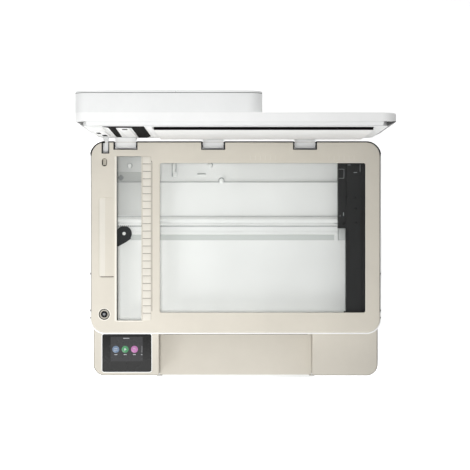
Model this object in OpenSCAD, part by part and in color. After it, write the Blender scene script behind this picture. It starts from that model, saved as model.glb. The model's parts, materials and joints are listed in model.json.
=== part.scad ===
// All-in-one inkjet printer with a flatbed scanner and a document feeder in its lid.
// Millimetres. +Z up, front towards -Y, origin under the middle of the machine on the desk.
// The scanner lid stands open; its parts are drawn closed and turned up about its hinge.

/* [Body] */
// Width of the scanner bezel and of the base
body_w = 432; // [428:1:436]
// Front edge of the base, where the deck ends
base_front = -197.5; // [-199:0.5:-196]
// Rear face of the base
base_back = 154; // [153:0.5:154.5]
// Height of the top of the front deck
deck_z = 90; // [90:0.5:91]
// Wall thickness of the mouldings
wall = 2.5; // [2:0.1:3]

/* [Scanner] */
// Front edge of the scanner bezel
bed_front = -130; // [-131:0.5:-129]
// Rear edge of the scanner bezel
bed_back = 155; // [154.5:0.5:155.5]
// Height of the top of the scanner bezel
bed_z = 136; // [136:0.5:137]
// Corner radius of the scanner bezel
bed_r = 20; // [16:1:22]
// Width of the white rim round the bezel
rim = 2.5; // [2:0.1:3]
// Length of the flatbed window
window_l = 308; // [300:1:310]
// Width of the flatbed window
window_w = 224; // [218:1:225]

/* [Lid] */
// Height of the lid's thin part above its lower edge
lid_t = 12; // [11:0.5:13]
// Height of the feeder's side walls above the lid
feeder_h = 25.9; // [25:0.1:26.5]
// Crown of the feeder's top, from its sides to its middle
dome_rise = 0.9; // [0.5:0.1:2]
// Width of the document feeder
feeder_w = 252; // [250:1:256]

/* [Paper path] */
// Radius of the feed and exit rollers
roller_r = 7; // [6.5:0.1:7]
// Height of the paper as it crosses the platen
paper_z = 47; // [47:0.5:48]
// Radius of the pick roller
pick_r = 10; // [9:0.5:10]

/* [Hidden] */

$fn = 48;
eps = 0.01;
half_w = body_w / 2;

// Base levels
foot_h = 3;
pan_floor = 5.5;
pan_rim = 20;
plate_z = deck_z - 3;
wall_top = 91.5;
apron_z = 44;
apron_back = -150;
wing_back = 5;
wall_front = -118;
roof_y = -64;
roof_z = 74;
base_r = 16;
mouth_w = 247;
pocket = [[-203.2, -192.6], [-128.6, -135.5]];
recess_w = 235;

// Drawer
tray_w = 240;
tray_back = 104;
tray_z = 6;
tray_top = 34;
tray_floor_t = 2.2;
tray_front_y = -205.5;
lip_y = -211;
letter_w = 216;

// Print mechanism
gear_m = 1;
feed_y = 68;
exit_y = 10;
shaft_z = paper_z - roller_r;
shaft_r = 3;
gear_x = -150;
gear_t = 6;
feed_teeth = 44;
idler_teeth = 20;
exit_teeth = 32;
motor_teeth = 12;
motor_angle = -60;
motor_y = feed_y + gear_m * (feed_teeth + motor_teeth) / 2 * cos(motor_angle);
motor_z = shaft_z + gear_m * (feed_teeth + motor_teeth) / 2 * sin(motor_angle);
idler_y = feed_y - gear_m * (feed_teeth + idler_teeth) / 2;
pick_y = 92;
pick_z = 21;
rod_y = 72;
rod_z = 70;
rod_r = 4;
frame_x = 190;
pulley_x = 178;
pulley_r = 6;
axle_r = 1.5;
belt_z = 72;
belt_y = 79.5;
carriage_w = 70;
bay_x = 17;
carriage_x = 152;

// Rear wall
door_w = 209;
door_z0 = 25.6;
door_z1 = 80;
door_pin_y = 152.5;
door_pin_z = 29;
inlet_x = 153;
inlet_z = 34;
usb_x = -158;
usb_z = 36;
button_x = -176;
button_z = 54;
button_r = 5.5;

// Scanner unit
tray_bottom = 93;
scan_floor = 95.5;
glass_z = 130.5;
glass_t = 2.8;
window_x = -113.5;
window_y = -100.2;
strip_x = -178;
strip_w = 37;
strip_y = -112;
strip_l = 246;
band_y = 137;
band_out = 1.6;
hinge_y = 150;
hinge_z = 125.5;
hinge_xs = [-165, -33.6, 104];
cable_x = -195;
hinge_pin_r = 2;
lift_y = 150;
lift_z = 84.5;
lift_pin_r = 2;
lift_xs = [-172, 172];
grip_y0 = -97;
grip_y1 = -43;
rack_y = 30;
scan_pinion_teeth = 12;
scan_pinion_x = 174;
scan_pinion_y = rack_y - gear_m * scan_pinion_teeth / 2;
pinion_z = 104.6;
rack_t = 5.2;
rack_teeth = 122;
rail_y = 38;
rail_z = 105;
rail_r = 4.5;
carrier_z = 108;
sensor_x = -196.8;
sensor_y = -102.8;

// Lid, in its closed place
shell_z = 143.3;
lid_top = shell_z + lid_t;
lid_back = 150;
liner_z = 137.5;
seam_z = lid_top + feeder_h;
feeder_x0 = -half_w;
feeder_x1 = -half_w + feeder_w;
dome_edge = 3.3;
dome_gap = 0.7;
dome_wall = 1.6;
dome_r = (pow(feeder_w / 2, 2) + pow(dome_rise, 2)) / (2 * dome_rise);
cover_x = -80;
drum_x = -182;
drum_z = 162;
drum_r = 13;
feeder_pick_x = -95;
feeder_pick_z = 172;
feeder_pick_r = 6.5;
deck_x0 = -102;
deck_x1 = 33.1;
deck_z0 = 162;
deck_z1 = 173;
feeder_mid_y = 10;

// ---------- helpers ----------

// Rounded rectangle between two corners
module rounded(x0, y0, x1, y1, r) {
    translate([x0 + r, y0]) square([x1 - x0 - 2 * r, y1 - y0]);
    translate([x0, y0 + r]) square([x1 - x0, y1 - y0 - 2 * r]);
    for (x = [x0 + r, x1 - r], y = [y0 + r, y1 - r]) translate([x, y]) circle(r);
}

// Box between two corners
module block(a, b) {
    translate(a) cube(b - a);
}

// Cylinder along X from x0 to x1 at a place in the Y-Z plane
module along_x(x0, x1, y, z, r) {
    translate([x0, y, z]) rotate([0, 90, 0]) cylinder(h = x1 - x0, r = r);
}

// Cylinder along Y from y0 to y1 at a place in the X-Z plane
module along_y(y0, y1, x, z, r) {
    translate([x, y0, z]) rotate([-90, 0, 0]) cylinder(h = y1 - y0, r = r);
}

// Extrudes a Y-Z outline along X
module profile_x(x0, x1) {
    translate([x0, 0, 0]) rotate([90, 0, 90]) linear_extrude(x1 - x0) children();
}

// Extrudes an X-Z outline along Y
module profile_y(y0, y1) {
    translate([0, y1, 0]) rotate([90, 0, 0]) linear_extrude(y1 - y0) children();
}

// Turns what is drawn closed into the lid's open place
module open_lid() {
    translate([0, hinge_y, hinge_z]) rotate([-90, 0, 0]) translate([0, -hinge_y, -hinge_z]) children();
}

// Involute of an angle, in degrees
function inv(a) = tan(a) * 180 / PI - a;

// Half the angle that a tooth takes at radius r
function tooth_half(n, r, slack) =
    let (pitch_r = gear_m * n / 2, base = pitch_r * cos(20))
    90 / n - slack / pitch_r * 90 / PI + inv(20) - inv(acos(min(1, base / r)));

// Outline of a spur gear with n teeth, its first tooth turned to angle a
function gear_points(n, a, slack) =
    let (pitch_r = gear_m * n / 2, radii = [pitch_r - 1.2 * gear_m, pitch_r - 0.3 * gear_m,
         pitch_r + 0.3 * gear_m, pitch_r + 0.9 * gear_m])
    [for (i = [0 : n - 1], s = [-1, 1], k = [0 : 3])
        let (r = radii[s < 0 ? k : 3 - k], t = a + 360 * i / n + s * tooth_half(n, r, slack))
        [r * cos(t), r * sin(t)]];

module gear(n, a, slack = 0.3) {
    polygon(gear_points(n, a, slack));
}

// Ring of the base's outer wall, seen from above
module base_ring() {
    difference() {
        rounded(-half_w, base_front, half_w, base_back, base_r);
        rounded(-half_w + wall, base_front + wall, half_w - wall, base_back - wall, base_r - wall);
    }
}

// ---------- base ----------

module base_pan() color("whitesmoke") {
    difference() {
        translate([0, 0, foot_h]) linear_extrude(pan_rim - foot_h)
            rounded(-half_w + 0.5, base_front + 0.5, half_w - 0.5, base_back - 0.5, base_r - 0.5);
        translate([0, 0, pan_floor]) linear_extrude(pan_rim)
            rounded(-half_w + wall, base_front + wall, half_w - wall, base_back - wall, base_r - wall);
        block([-mouth_w / 2, base_front - 5, pan_floor - eps], [mouth_w / 2, base_front + 10, 40]);
    }
    // drawer runners
    for (s = [-1, 1])
        block([s * (tray_w / 2 + 2.5) - 1.5, -150, pan_floor], [s * (tray_w / 2 + 2.5) + 1.5, 100, 16]);
    // ramp that turns the sheets up behind the drawer
    profile_x(-115, 115) polygon([[106, pan_floor], [128, pan_floor], [128, 27], [121, 27]]);
}

module rubber_feet() color("dimgray")
    for (x = [-180, 180], y = [-168, 128])
        translate([x, y, 0]) cylinder(h = foot_h, r = 9);

// One side wall, which turns the rear corner, and the front corner below the apron
module side_cover() {
    translate([0, 0, pan_rim]) linear_extrude(apron_z - pan_rim) intersection() {
        base_ring();
        union() {
            translate([-half_w - 1, base_front - 1]) square([half_w + 1 - mouth_w / 2, 60]);
            translate([-half_w - 1, base_front - 1]) square([21, base_back - base_front + 2]);
        }
    }
    translate([0, 0, apron_z]) linear_extrude(plate_z - apron_z) intersection() {
        base_ring();
        translate([-half_w - 1, apron_back]) square([21, base_back + 1 - apron_back]);
    }
    translate([0, 0, plate_z - eps]) linear_extrude(wall_top - plate_z + eps) intersection() {
        base_ring();
        translate([-half_w - 1, wall_front + 0.3]) square([21, base_back + 0.7 - wall_front]);
    }
}

module left_cover() color("whitesmoke") side_cover();
module right_cover() color("whitesmoke") mirror([1, 0, 0]) side_cover();

module rear_cover() color("dimgray") {
    difference() {
        union() {
            block([-196, base_back - 3, pan_rim], [196, base_back, wall_top]);
            // ears of the scanner's lift hinge
            for (x = lift_xs, s = [-1, 1]) translate([x + s * 10, 0, 0]) {
                block([-3, lift_y - 8, 68], [3, base_back - 3 + eps, lift_z]);
                along_x(-3, 3, lift_y, lift_z, 4);
            }
        }
        block([-door_w / 2 - 0.5, base_back - 10, door_z0], [door_w / 2 + 0.5, base_back + 5, door_z1]);
        along_x(-door_w / 2 - 3, door_w / 2 + 3, door_pin_y, door_pin_z, 1.06);
        for (x = lift_xs) {
            block([x - 7, base_back - 20, lift_z - 8], [x + 7, base_back + 5, deck_z + 10]);
            block([x - 14, base_back - 3 - eps, lift_z + 1], [x + 14, base_back + 5, deck_z + 10]);
            along_x(x - 20, x + 20, lift_y, lift_z, lift_pin_r + 0.05);
        }
        block([inlet_x - 12, base_back - 10, inlet_z - 8.5], [inlet_x + 12, base_back + 5, inlet_z + 8.5]);
        block([usb_x - 8, base_back - 10, usb_z - 7.5], [usb_x + 8, base_back + 5, usb_z + 7.5]);
        along_y(base_back - 10, base_back + 5, button_x, button_z, button_r + 0.4);
    }
}

// Deck with the apron round its front corners, wings beside the carriage, and a roof over the slot
module front_deck() color("antiquewhite") {
    difference() {
        union() {
            translate([0, 0, plate_z]) linear_extrude(deck_z - plate_z) intersection() {
                rounded(-half_w, base_front, half_w, base_back, base_r);
                translate([-half_w - 1, base_front - 1]) square([body_w + 2, wall_front + 1 - base_front]);
            }
            block([-half_w + wall + 0.4, wall_front - eps, plate_z],
                  [half_w - wall - 0.4, wing_back, deck_z]);
            translate([0, 0, apron_z]) linear_extrude(plate_z - apron_z + eps) intersection() {
                base_ring();
                translate([-half_w - 1, base_front - 1])
                    square([body_w + 2, apron_back - 0.3 + 1 - base_front]);
            }
            // cheeks of the output recess
            for (s = [-1, 1])
                block([s * (recess_w / 2 + 1) - 1, base_front, apron_z],
                      [s * (recess_w / 2 + 1) + 1, roof_y + 4, plate_z + eps]);
        }
        block([-recess_w / 2, base_front - 2, apron_z - 1], [recess_w / 2, roof_y, deck_z + 1]);
        block([-recess_w / 2, roof_y - eps, apron_z - 1], [recess_w / 2, wing_back + 1, roof_z]);
        block([-recess_w / 2, roof_y + 4, apron_z - 1], [recess_w / 2, wing_back + 1, deck_z + 1]);
        translate([0, 0, plate_z - 1]) linear_extrude(6)
            rounded(pocket[0][0] - 0.2, pocket[0][1] - 0.2, pocket[1][0] + 0.2, pocket[1][1] + 0.2, 3);
    }
    block([-recess_w / 2 - eps, roof_y, roof_z], [recess_w / 2 + eps, roof_y + 4, deck_z]);
}

module output_floor() color("antiquewhite")
    profile_x(-recess_w / 2 + 0.2, recess_w / 2 - 0.2)
        polygon([[-200.8, 43.4], [-200.8, 46], [-199.5, 46.6], [-190, 46.6], [-25, 43.8], [-25, 41.4], [-60, 43.4]]);

module touch_panel() color("black")
    translate([0, 0, plate_z - 1]) linear_extrude(deck_z - plate_z + 1.3)
        rounded(pocket[0][0], pocket[0][1], pocket[1][0], pocket[1][1], 2.8);

// ---------- drawer ----------

module paper_tray() color("white") {
    difference() {
        block([-tray_w / 2, -199, tray_z], [tray_w / 2, tray_back, tray_top]);
        block([-tray_w / 2 + 2, -198, tray_z + tray_floor_t], [tray_w / 2 - 2, tray_back + 1, tray_top + 1]);
    }
    difference() {
        block([-mouth_w / 2 + 1, tray_front_y, foot_h + 1], [mouth_w / 2 - 1, -199 + eps, 40]);
        // finger pull under the edge
        block([-45, tray_front_y - 1, 13], [45, tray_front_y + 4.5, 24]);
    }
    block([-95, lip_y, foot_h + 1], [105, tray_front_y + eps, 11]);
}

// One paper guide on its foot; side is -1 on the left
module width_guide(side) {
    x = side * (letter_w / 2 + 1);
    block([min(x, x + side * 2.5), -120, tray_z + tray_floor_t + 0.3],
          [max(x, x + side * 2.5), 20, tray_top - 3]);
    block([min(x + side * 2.4, x - side * 26), -70, tray_z + tray_floor_t + 0.3],
          [max(x + side * 2.4, x - side * 26), -40, tray_z + tray_floor_t + 1.8]);
}

module tray_guide_left() color("lightgray") width_guide(-1);
module tray_guide_right() color("lightgray") width_guide(1);

module length_guide() color("lightgray") {
    block([-24, -179, tray_z + tray_floor_t + 0.3], [24, -176.5, 28]);
    block([-14, -176.6, tray_z + tray_floor_t + 0.3], [14, -150, tray_z + tray_floor_t + 1.8]);
}

module output_extender() color("white") {
    block([-60, -203, 40.8], [60, -64, 43]);
    block([-34, -205, 40.8], [34, -203 + eps, 43]);
}

// ---------- print mechanism ----------

module print_frame() color("silver") {
    difference() {
        union() {
            block([-frame_x, 84, 48], [frame_x, 85.5, 86]);
            for (s = [-1, 1])
                block([s * frame_x - 1, 62, pan_floor], [s * frame_x + 1, 85.5, 86]);
            // bearing plates of the rollers
            for (x = [-140, 114]) {
                block([x - 1, 0, paper_z - 11], [x + 1, 76, paper_z - 0.5]);
                block([x - 1, 74.5, paper_z - 11], [x + 1, 85.5, 58]);
            }
        }
        // window for the gear train and its motor
        block([-184, 83, 40], [-142, 87, 78]);
        along_x(-frame_x - 5, frame_x + 5, rod_y, rod_z, rod_r);
        along_x(-150, 150, feed_y, shaft_z, shaft_r + 0.06);
        along_x(-150, 150, exit_y, shaft_z, shaft_r + 0.06);
        along_y(80, 90, pulley_x, belt_z, axle_r + 0.06);
    }
}

module carriage_rod() color("silver")
    along_x(-frame_x - 3, frame_x + 3, rod_y, rod_z, rod_r);

module platen() color("dimgray") {
    block([-112, 19, 41.6], [112, 59, 43.6]);
    for (i = [-10 : 10])
        block([i * 10.6 - 0.8, 20, 43.5], [i * 10.6 + 0.8, 58, paper_z - 0.5]);
}

module service_station() color("lightgray") {
    cap_xs = [carriage_x - bay_x, carriage_x + bay_x];
    difference() {
        block([125, 14, pan_floor], [187, 61.5, 44]);
        for (x = cap_xs) block([x - 9.5, 20, 40], [x + 9.5, 56, 45]);
    }
    for (x = cap_xs) block([x - 8, 22, 39.9], [x + 8, 54, 46.5]);
}

module mainboard() color("darkgreen") {
    block([-208, -110, 12], [-130, -10, 13.6]);
    for (x = [-200, -138], y = [-102, -18]) translate([x, y, pan_floor]) cylinder(h = 6.6, r = 3);
    block([-190, -80, 13.5], [-166, -56, 16]);
    block([-156, -70, 13.5], [-142, -50, 15.5]);
    for (i = [0 : 3]) block([-204 + i * 17, -30, 13.5], [-192 + i * 17, -20, 20]);
    for (i = [0 : 2]) translate([-150 + i * 8, -96, 13.5]) cylinder(h = 9, r = 3);
}

module drive_motors() color("gray") difference() {
    union() {
        along_x(-182, -158, motor_y, motor_z, 9.4);
        along_x(-158 - eps, -154, motor_y, motor_z, 4);
        along_y(88, 116, -pulley_x, belt_z, 8);
        along_y(85.7, 88 + eps, -pulley_x, belt_z, 4);
    }
    along_x(-158, -153, motor_y, motor_z, axle_r + 0.06);
    along_y(85, 89, -pulley_x, belt_z, axle_r + 0.06);
}

// Supply with its two-pin inlet, a rounded cavity with two pins in it
module power_supply() color("dimgray") {
    difference() {
        union() {
            block([124, 90, pan_floor], [208, 136, 48]);
            block([inlet_x - 11.7, 136 - eps, inlet_z - 8.2], [inlet_x + 11.7, base_back + 0.6, inlet_z + 8.2]);
        }
        for (i = [0 : 8]) block([130 + i * 8, 89, 20], [133 + i * 8, 93, 42]);
        profile_y(base_back - 12.5, base_back + 2)
            rounded(inlet_x - 8, inlet_z - 4.3, inlet_x + 8, inlet_z + 4.3, 4.2);
    }
    for (s = [-1, 1]) along_y(base_back - 13, base_back - 3, inlet_x + s * 4.3, inlet_z, 1.2);
}

module usb_port() color("silver") difference() {
    block([usb_x - 7.7, base_back - 17, usb_z - 7.2], [usb_x + 7.7, base_back + 0.4, usb_z + 7.2]);
    block([usb_x - 4.3, base_back - 11, usb_z - 4], [usb_x + 4.3, base_back + 2, usb_z + 4]);
}

module pick_arm() color("gray") difference() {
    union() {
        for (s = [-1, 1]) {
            a = atan2(pick_z - shaft_z, pick_y - feed_y);
            span = norm([pick_y - feed_y, pick_z - shaft_z]);
            along_x(s * 18.5 - 1, s * 18.5 + 1, feed_y, shaft_z, 5);
            along_x(s * 18.5 - 1, s * 18.5 + 1, pick_y, pick_z, 4);
            translate([s * 18.5 - 1, feed_y, shaft_z]) rotate([a, 0, 0]) block([0, 0, -3.5], [2, span, 3.5]);
        }
        along_x(-18, 18, feed_y + 12, shaft_z - 9.5, 2);
    }
    along_x(-30, 30, feed_y, shaft_z, shaft_r + 0.08);
    along_x(-30, 30, pick_y, pick_z, 2.08);
}

module pick_roller() color("dimgray") {
    along_x(-15, 15, pick_y, pick_z, pick_r);
    along_x(-21, 21, pick_y, pick_z, 2);
}

module feed_roller() color("silver") {
    along_x(gear_x - 2, 118, feed_y, shaft_z, shaft_r);
    for (x = [-105, 26]) along_x(x, x + 79, feed_y, shaft_z, roller_r);
    translate([gear_x, feed_y, shaft_z]) rotate([90, 0, 90]) linear_extrude(gear_t)
        gear(feed_teeth, 180);
}

module exit_roller() color("dimgray") {
    along_x(gear_x - 2, 118, exit_y, shaft_z, shaft_r);
    for (i = [-3 : 3]) along_x(i * 29 - 9, i * 29 + 9, exit_y, shaft_z, roller_r);
    translate([gear_x, exit_y, shaft_z]) rotate([90, 0, 90]) linear_extrude(gear_t)
        gear(exit_teeth, 0);
}

// Sits between the feed gear and the exit gear with a gap facing each
module idler_gear() color("whitesmoke") {
    translate([gear_x, idler_y, shaft_z]) rotate([90, 0, 90]) linear_extrude(gear_t)
        gear(idler_teeth, 180 / idler_teeth);
    along_x(gear_x - 2, gear_x + gear_t + 2, idler_y, shaft_z, 3);
}

// Its gap faces the tooth that the feed gear holds towards the motor
module motor_pinion() color("gold") {
    near = round(motor_angle * feed_teeth / 360 - feed_teeth / 2);
    off = motor_angle - (180 + near * 360 / feed_teeth);
    translate([gear_x, motor_y, motor_z]) rotate([90, 0, 90]) linear_extrude(gear_t)
        gear(motor_teeth, 180 + motor_angle + 180 / motor_teeth + off * feed_teeth / motor_teeth);
    along_x(-157, gear_x + gear_t + 1, motor_y, motor_z, axle_r);
}

pinch_r = 4.4;

module pinch_rollers() color("black") {
    for (x = [-96, -52, 30, 74]) along_x(x, x + 22, feed_y + 1, paper_z + pinch_r + 0.2, pinch_r);
    along_x(-104, 104, feed_y + 1, paper_z + pinch_r + 0.2, 1.5);
}

module print_carriage() color("dimgray") {
    x0 = carriage_x - carriage_w / 2;
    x1 = carriage_x + carriage_w / 2;
    difference() {
        profile_x(x0, x1)
            polygon([[16, 49], [60, 49], [60, 60], [78, 60], [78, 80], [62, 87], [16, 87]]);
        for (s = [-1, 1])
            block([carriage_x + s * bay_x - 14, 15, 52], [carriage_x + s * bay_x + 14, 60, 88]);
        along_x(x0 - 1, x1 + 1, rod_y, rod_z, rod_r + 0.05);
    }
    // jaws that grip the upper run of the belt
    for (z = [belt_z + pulley_r - 2.3, belt_z + pulley_r + 1.2])
        block([carriage_x - 12, 78 - eps, z], [carriage_x + 12, 83, z + 1.9]);
}

// Ink cartridge in a bay; side is -1 on the left
module cartridge(side) {
    x = carriage_x + side * bay_x;
    profile_x(x - 13, x + 13)
        polygon([[15, 58], [22, 52.4], [58, 52.4], [59, 56], [59, 84], [18, 84], [15, 78]]);
    block([x - 7, 11, 66], [x + 7, 15 + eps, 76]);
}

module cartridge_black() color("black") cartridge(1);
module cartridge_colour() color("steelblue") cartridge(-1);

module belt_outline(r) {
    for (s = [-1, 1]) translate([s * pulley_x, belt_z]) circle(r);
    translate([-pulley_x, belt_z - r]) square([2 * pulley_x, 2 * r]);
}

module carriage_belt() color("black")
    profile_y(belt_y, belt_y + 3) difference() {
        belt_outline(pulley_r + 0.9);
        belt_outline(pulley_r + 0.1);
    }

module belt_pulley(side) {
    along_y(belt_y - 0.2, belt_y + 3.2, side * pulley_x, belt_z, pulley_r);
    along_y(belt_y - 0.8, belt_y - 0.1, side * pulley_x, belt_z, pulley_r + 1.5);
    along_y(belt_y + 3.1, belt_y + 3.8, side * pulley_x, belt_z, pulley_r + 1.5);
    along_y(belt_y + 3.7, belt_y + 8, side * pulley_x, belt_z, axle_r);
}

module drive_pulley() color("gold") belt_pulley(-1);
module idle_pulley() color("gray") belt_pulley(1);

// Drop-down door over the rear paper turn, with curved ribs inside
module rear_door() color("dimgray") {
    block([-door_w / 2, base_back - 3, door_pin_z], [door_w / 2, base_back, door_z1 - 0.6]);
    block([-door_w / 2, base_back - eps, door_pin_z + 1.5], [door_w / 2, base_back + 1.5, door_z1 - 0.6]);
    along_x(-door_w / 2, door_w / 2, door_pin_y, door_pin_z, 1.5);
    along_x(-door_w / 2 - 2.5, door_w / 2 + 2.5, door_pin_y, door_pin_z, 1);
    for (i = [-5 : 5])
        profile_x(i * 18 - 1, i * 18 + 1) difference() {
            translate([137, 34]) square([base_back - 2.9 - 137, 24]);
            translate([126, 36]) circle(18);
        }
    difference() {
        block([-30, base_back + 1.4, 66], [30, base_back + 3.5, 76]);
        block([-26, base_back + 1.6, 63], [26, base_back + 5, 73]);
    }
}

module power_button() color("lightgray") {
    along_y(base_back - 3.4, base_back + 1.8, button_x, button_z, button_r);
    along_y(base_back - 5, base_back - 3.3, button_x, button_z, button_r + 1.5);
}

// ---------- scanner unit ----------

module tray_outline(inset) {
    rounded(-half_w - rim + inset, bed_front - rim + inset, half_w + rim - inset,
            bed_back - 0.5 - inset, bed_r + rim - inset);
}

// Notches that the lid's hinge arms and cable guide turn in
module hinge_notches(grow, z0, z1) {
    for (x = hinge_xs) block([x - 17.7 - grow, hinge_y - 6 - grow, z0], [x + 17.7 + grow, bed_back + 6, z1]);
    block([cable_x - 5.5 - grow, hinge_y - 11.6 - grow, z0], [cable_x + 5.5 + grow, bed_back + 6, z1]);
}

// Black band round the rear of the scanner, from corner to corner
module band_outline() {
    intersection() {
        difference() {
            rounded(-half_w - rim, bed_front, half_w + rim, bed_back + band_out, bed_r + rim);
            rounded(-half_w, bed_front, half_w, bed_back, bed_r);
        }
        translate([-half_w - 9, band_y]) square([body_w + 18, 40]);
    }
}

module scanner_tray() color("white") difference() {
    union() {
        difference() {
            union() {
                translate([0, 0, tray_bottom]) linear_extrude(glass_z + 0.5 - tray_bottom) tray_outline(0);
                translate([0, 0, glass_z]) linear_extrude(3.2) difference() {
                    tray_outline(0);
                    rounded(-half_w - 0.2, bed_front - 0.2, half_w + 0.2, bed_back + 5, bed_r);
                }
            }
            translate([0, 0, scan_floor]) linear_extrude(60) tray_outline(5);
        }
        // raised bands of the floor under the glass, and the carriage's rail
        block([-213.6, 17, scan_floor - eps], [213.6, 20.5, 97.3]);
        block([-213.6, rack_y + 3, scan_floor - eps], [213.6, 45, 100]);
        block([-213.6, 45 - eps, scan_floor - eps], [213.6, 96, 101.5]);
        block([-213.6, rail_y - 2.5, 100 - eps], [213.6, rail_y + 2.5, rail_z]);
        along_x(-213.6, 213.6, rail_y, rail_z, rail_r);
        // walls of the hinge pockets
        intersection() {
            hinge_notches(2.2, 113, glass_z);
            translate([0, 0, 100]) linear_extrude(60) tray_outline(1);
        }
        // lugs of the lift hinge
        for (x = lift_xs) {
            block([x - 6.5, lift_y - 4, lift_z], [x + 6.5, lift_y + 4, tray_bottom + eps]);
            along_x(x - 6.5, x + 6.5, lift_y, lift_z, 4);
        }
    }
    hinge_notches(0, 115.3, 140);
    for (x = hinge_xs) along_x(x - 23, x + 23, hinge_y, hinge_z, hinge_pin_r);
    along_x(cable_x - 10, cable_x + 10, hinge_y, hinge_z, hinge_pin_r);
    for (x = lift_xs) along_x(x - 10, x + 10, lift_y, lift_z, lift_pin_r + 0.07);
    translate([0, 0, tray_bottom + 5]) linear_extrude(60) band_outline();
    // finger grips for lifting the scanner
    for (s = [-1, 1])
        block([s * (half_w + rim) - 3.4, grip_y0, tray_bottom - 1],
              [s * (half_w + rim) + 3.4, grip_y1, tray_bottom + 15]);
}

module scanner_rear_band() color("black") difference() {
    translate([0, 0, tray_bottom + 5]) linear_extrude(134.6 - tray_bottom - 5) band_outline();
    hinge_notches(0, 115.3, 140);
}

trough = [-204.6, -47.4, -180.6, 71.9];

module scanner_bezel() color("antiquewhite") difference() {
    translate([0, 0, glass_z + 0.5]) linear_extrude(bed_z - glass_z - 0.5)
        rounded(-half_w, bed_front, half_w, bed_back, bed_r);
    // underside pockets: the two glasses, and the hollow left of them
    block([window_x - 6, window_y - 6, glass_z - 1],
          [window_x + window_l + 6, window_y + window_w + 6, glass_z + glass_t]);
    block([strip_x - 3.5, strip_y - 3, glass_z - 1],
          [strip_x + strip_w + 3.5, strip_y + strip_l + 3, glass_z + glass_t]);
    translate([0, 0, 100]) linear_extrude(60)
        rounded(window_x, window_y, window_x + window_l, window_y + window_w, 3);
    translate([0, 0, 100]) linear_extrude(60)
        rounded(strip_x, strip_y, strip_x + strip_w, strip_y + strip_l, 0.8);
    hinge_notches(0, 110, 140);
    // shallow hollow beside the feeder window, and the two openings at its ends
    translate([0, 0, bed_z - 1.2]) linear_extrude(5)
        rounded(trough[0], trough[1], trough[2], trough[3], 4);
    translate([0, 0, glass_z - 1]) linear_extrude(20) rounded(-200.3, 119, -192.6, 131, 3.8);
    translate([sensor_x, sensor_y, bed_z - 3.5]) cylinder(h = 20, r = 8.2);
    translate([sensor_x, sensor_y, glass_z - 1]) cylinder(h = 20, r = 3.4);
}

module scan_glass() color([0.8, 0.9, 0.9, 0.4])
    block([window_x - 5.8, window_y - 5.8, glass_z],
          [window_x + window_l + 5.8, window_y + window_w + 5.8, glass_z + glass_t - 0.1]);

module feeder_glass() color([0.8, 0.9, 0.9, 0.4])
    block([strip_x - 3.3, strip_y - 2.8, glass_z],
          [strip_x + strip_w + 3.3, strip_y + strip_l + 2.8, glass_z + glass_t - 0.1]);

// Ribbed ramp between the two windows, which lifts the sheet off the narrow glass
module size_ruler() color("ivory") {
    profile_y(strip_y, strip_y + strip_l)
        polygon([[-140, bed_z], [-139.4, bed_z + 0.5], [-130, bed_z + 0.9], [-126, bed_z + 0.4], [-126, bed_z]]);
    for (i = [0 : 18])
        block([-139, strip_y + 20 + i * 11.1, bed_z], [-131, strip_y + 20.7 + i * 11.1, bed_z + 1.1]);
}

module scan_rack() color("whitesmoke") {
    pitch = PI * gear_m;
    x0 = scan_pinion_x - 118 * pitch;
    translate([0, 0, pinion_z - rack_t / 2]) linear_extrude(rack_t) {
        translate([x0, rack_y + 1]) square([rack_teeth * pitch, 1.4]);
        for (i = [0 : rack_teeth - 1]) translate([x0 + (i + 0.5) * pitch, rack_y])
            polygon([[-1.15, 1.1], [-0.95, 0.6], [-0.35, -0.9], [0.35, -0.9], [0.95, 0.6], [1.15, 1.1]]);
    }
    block([x0, rack_y + 1, scan_floor], [x0 + rack_teeth * pitch, rack_y + 2.4, pinion_z - rack_t / 2 + eps]);
}

// Clip that holds the end of the scanner's flat cable, round its post
anchor = [-169.4, 18.2];

module cable_anchor() color("dimgray") {
    difference() {
        translate([0, 0, 97.5]) linear_extrude(4.3) {
            translate(anchor) circle(11.6);
            polygon([[-181, 24], [-181, -1.1], [-177.6, -1.1], [-166.2, 5.4], [-159, 10.6], [-163, 20]]);
        }
        translate([anchor[0], anchor[1], 97]) cylinder(h = 9, r = 2.7);
    }
    // flat cable lying along the floor
    block([-176, 8, scan_floor], [150, 16.5, scan_floor + 0.5]);
    block([-176, 8, scan_floor + 0.4], [-168, 14, 97.6]);
}

module lid_sensor() color("black") {
    translate([sensor_x, sensor_y, glass_z - 12]) cylinder(h = bed_z + 1.2 - glass_z + 12, r = 3);
    translate([sensor_x, sensor_y, glass_z - 3]) cylinder(h = 2.5, r = 5);
}

// Image sensor on its carrier; its wide end rides the rail and holds the motor and the pinion
module scan_carriage() color("dimgray") {
    difference() {
        union() {
            block([166, -108, 112], [202, 131, 128]);
            block([154, 26, 112], [166 + eps, 127, 127.4]);
            block([163.5, -107, 112], [166 + eps, -99, 124]);
            block([168, -104, carrier_z], [198, 128, 112 + eps]);
            block([158, rail_y - 5, rail_z + 0.3], [198, rail_y + 6, 112 + eps]);
        }
        along_x(150, 210, rail_y, rail_z, rail_r + 0.4);
        translate([scan_pinion_x, scan_pinion_y, 100]) cylinder(h = 12, r = 7.6);
        translate([scan_pinion_x, scan_pinion_y, 111]) cylinder(h = 5, r = axle_r + 0.06);
    }
}

module scan_pinion() color("ivory") translate([scan_pinion_x, scan_pinion_y, 0]) {
    translate([0, 0, pinion_z - 2]) linear_extrude(4) gear(scan_pinion_teeth, 90);
    translate([0, 0, pinion_z]) cylinder(h = 115.8 - pinion_z, r = axle_r);
}

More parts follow.
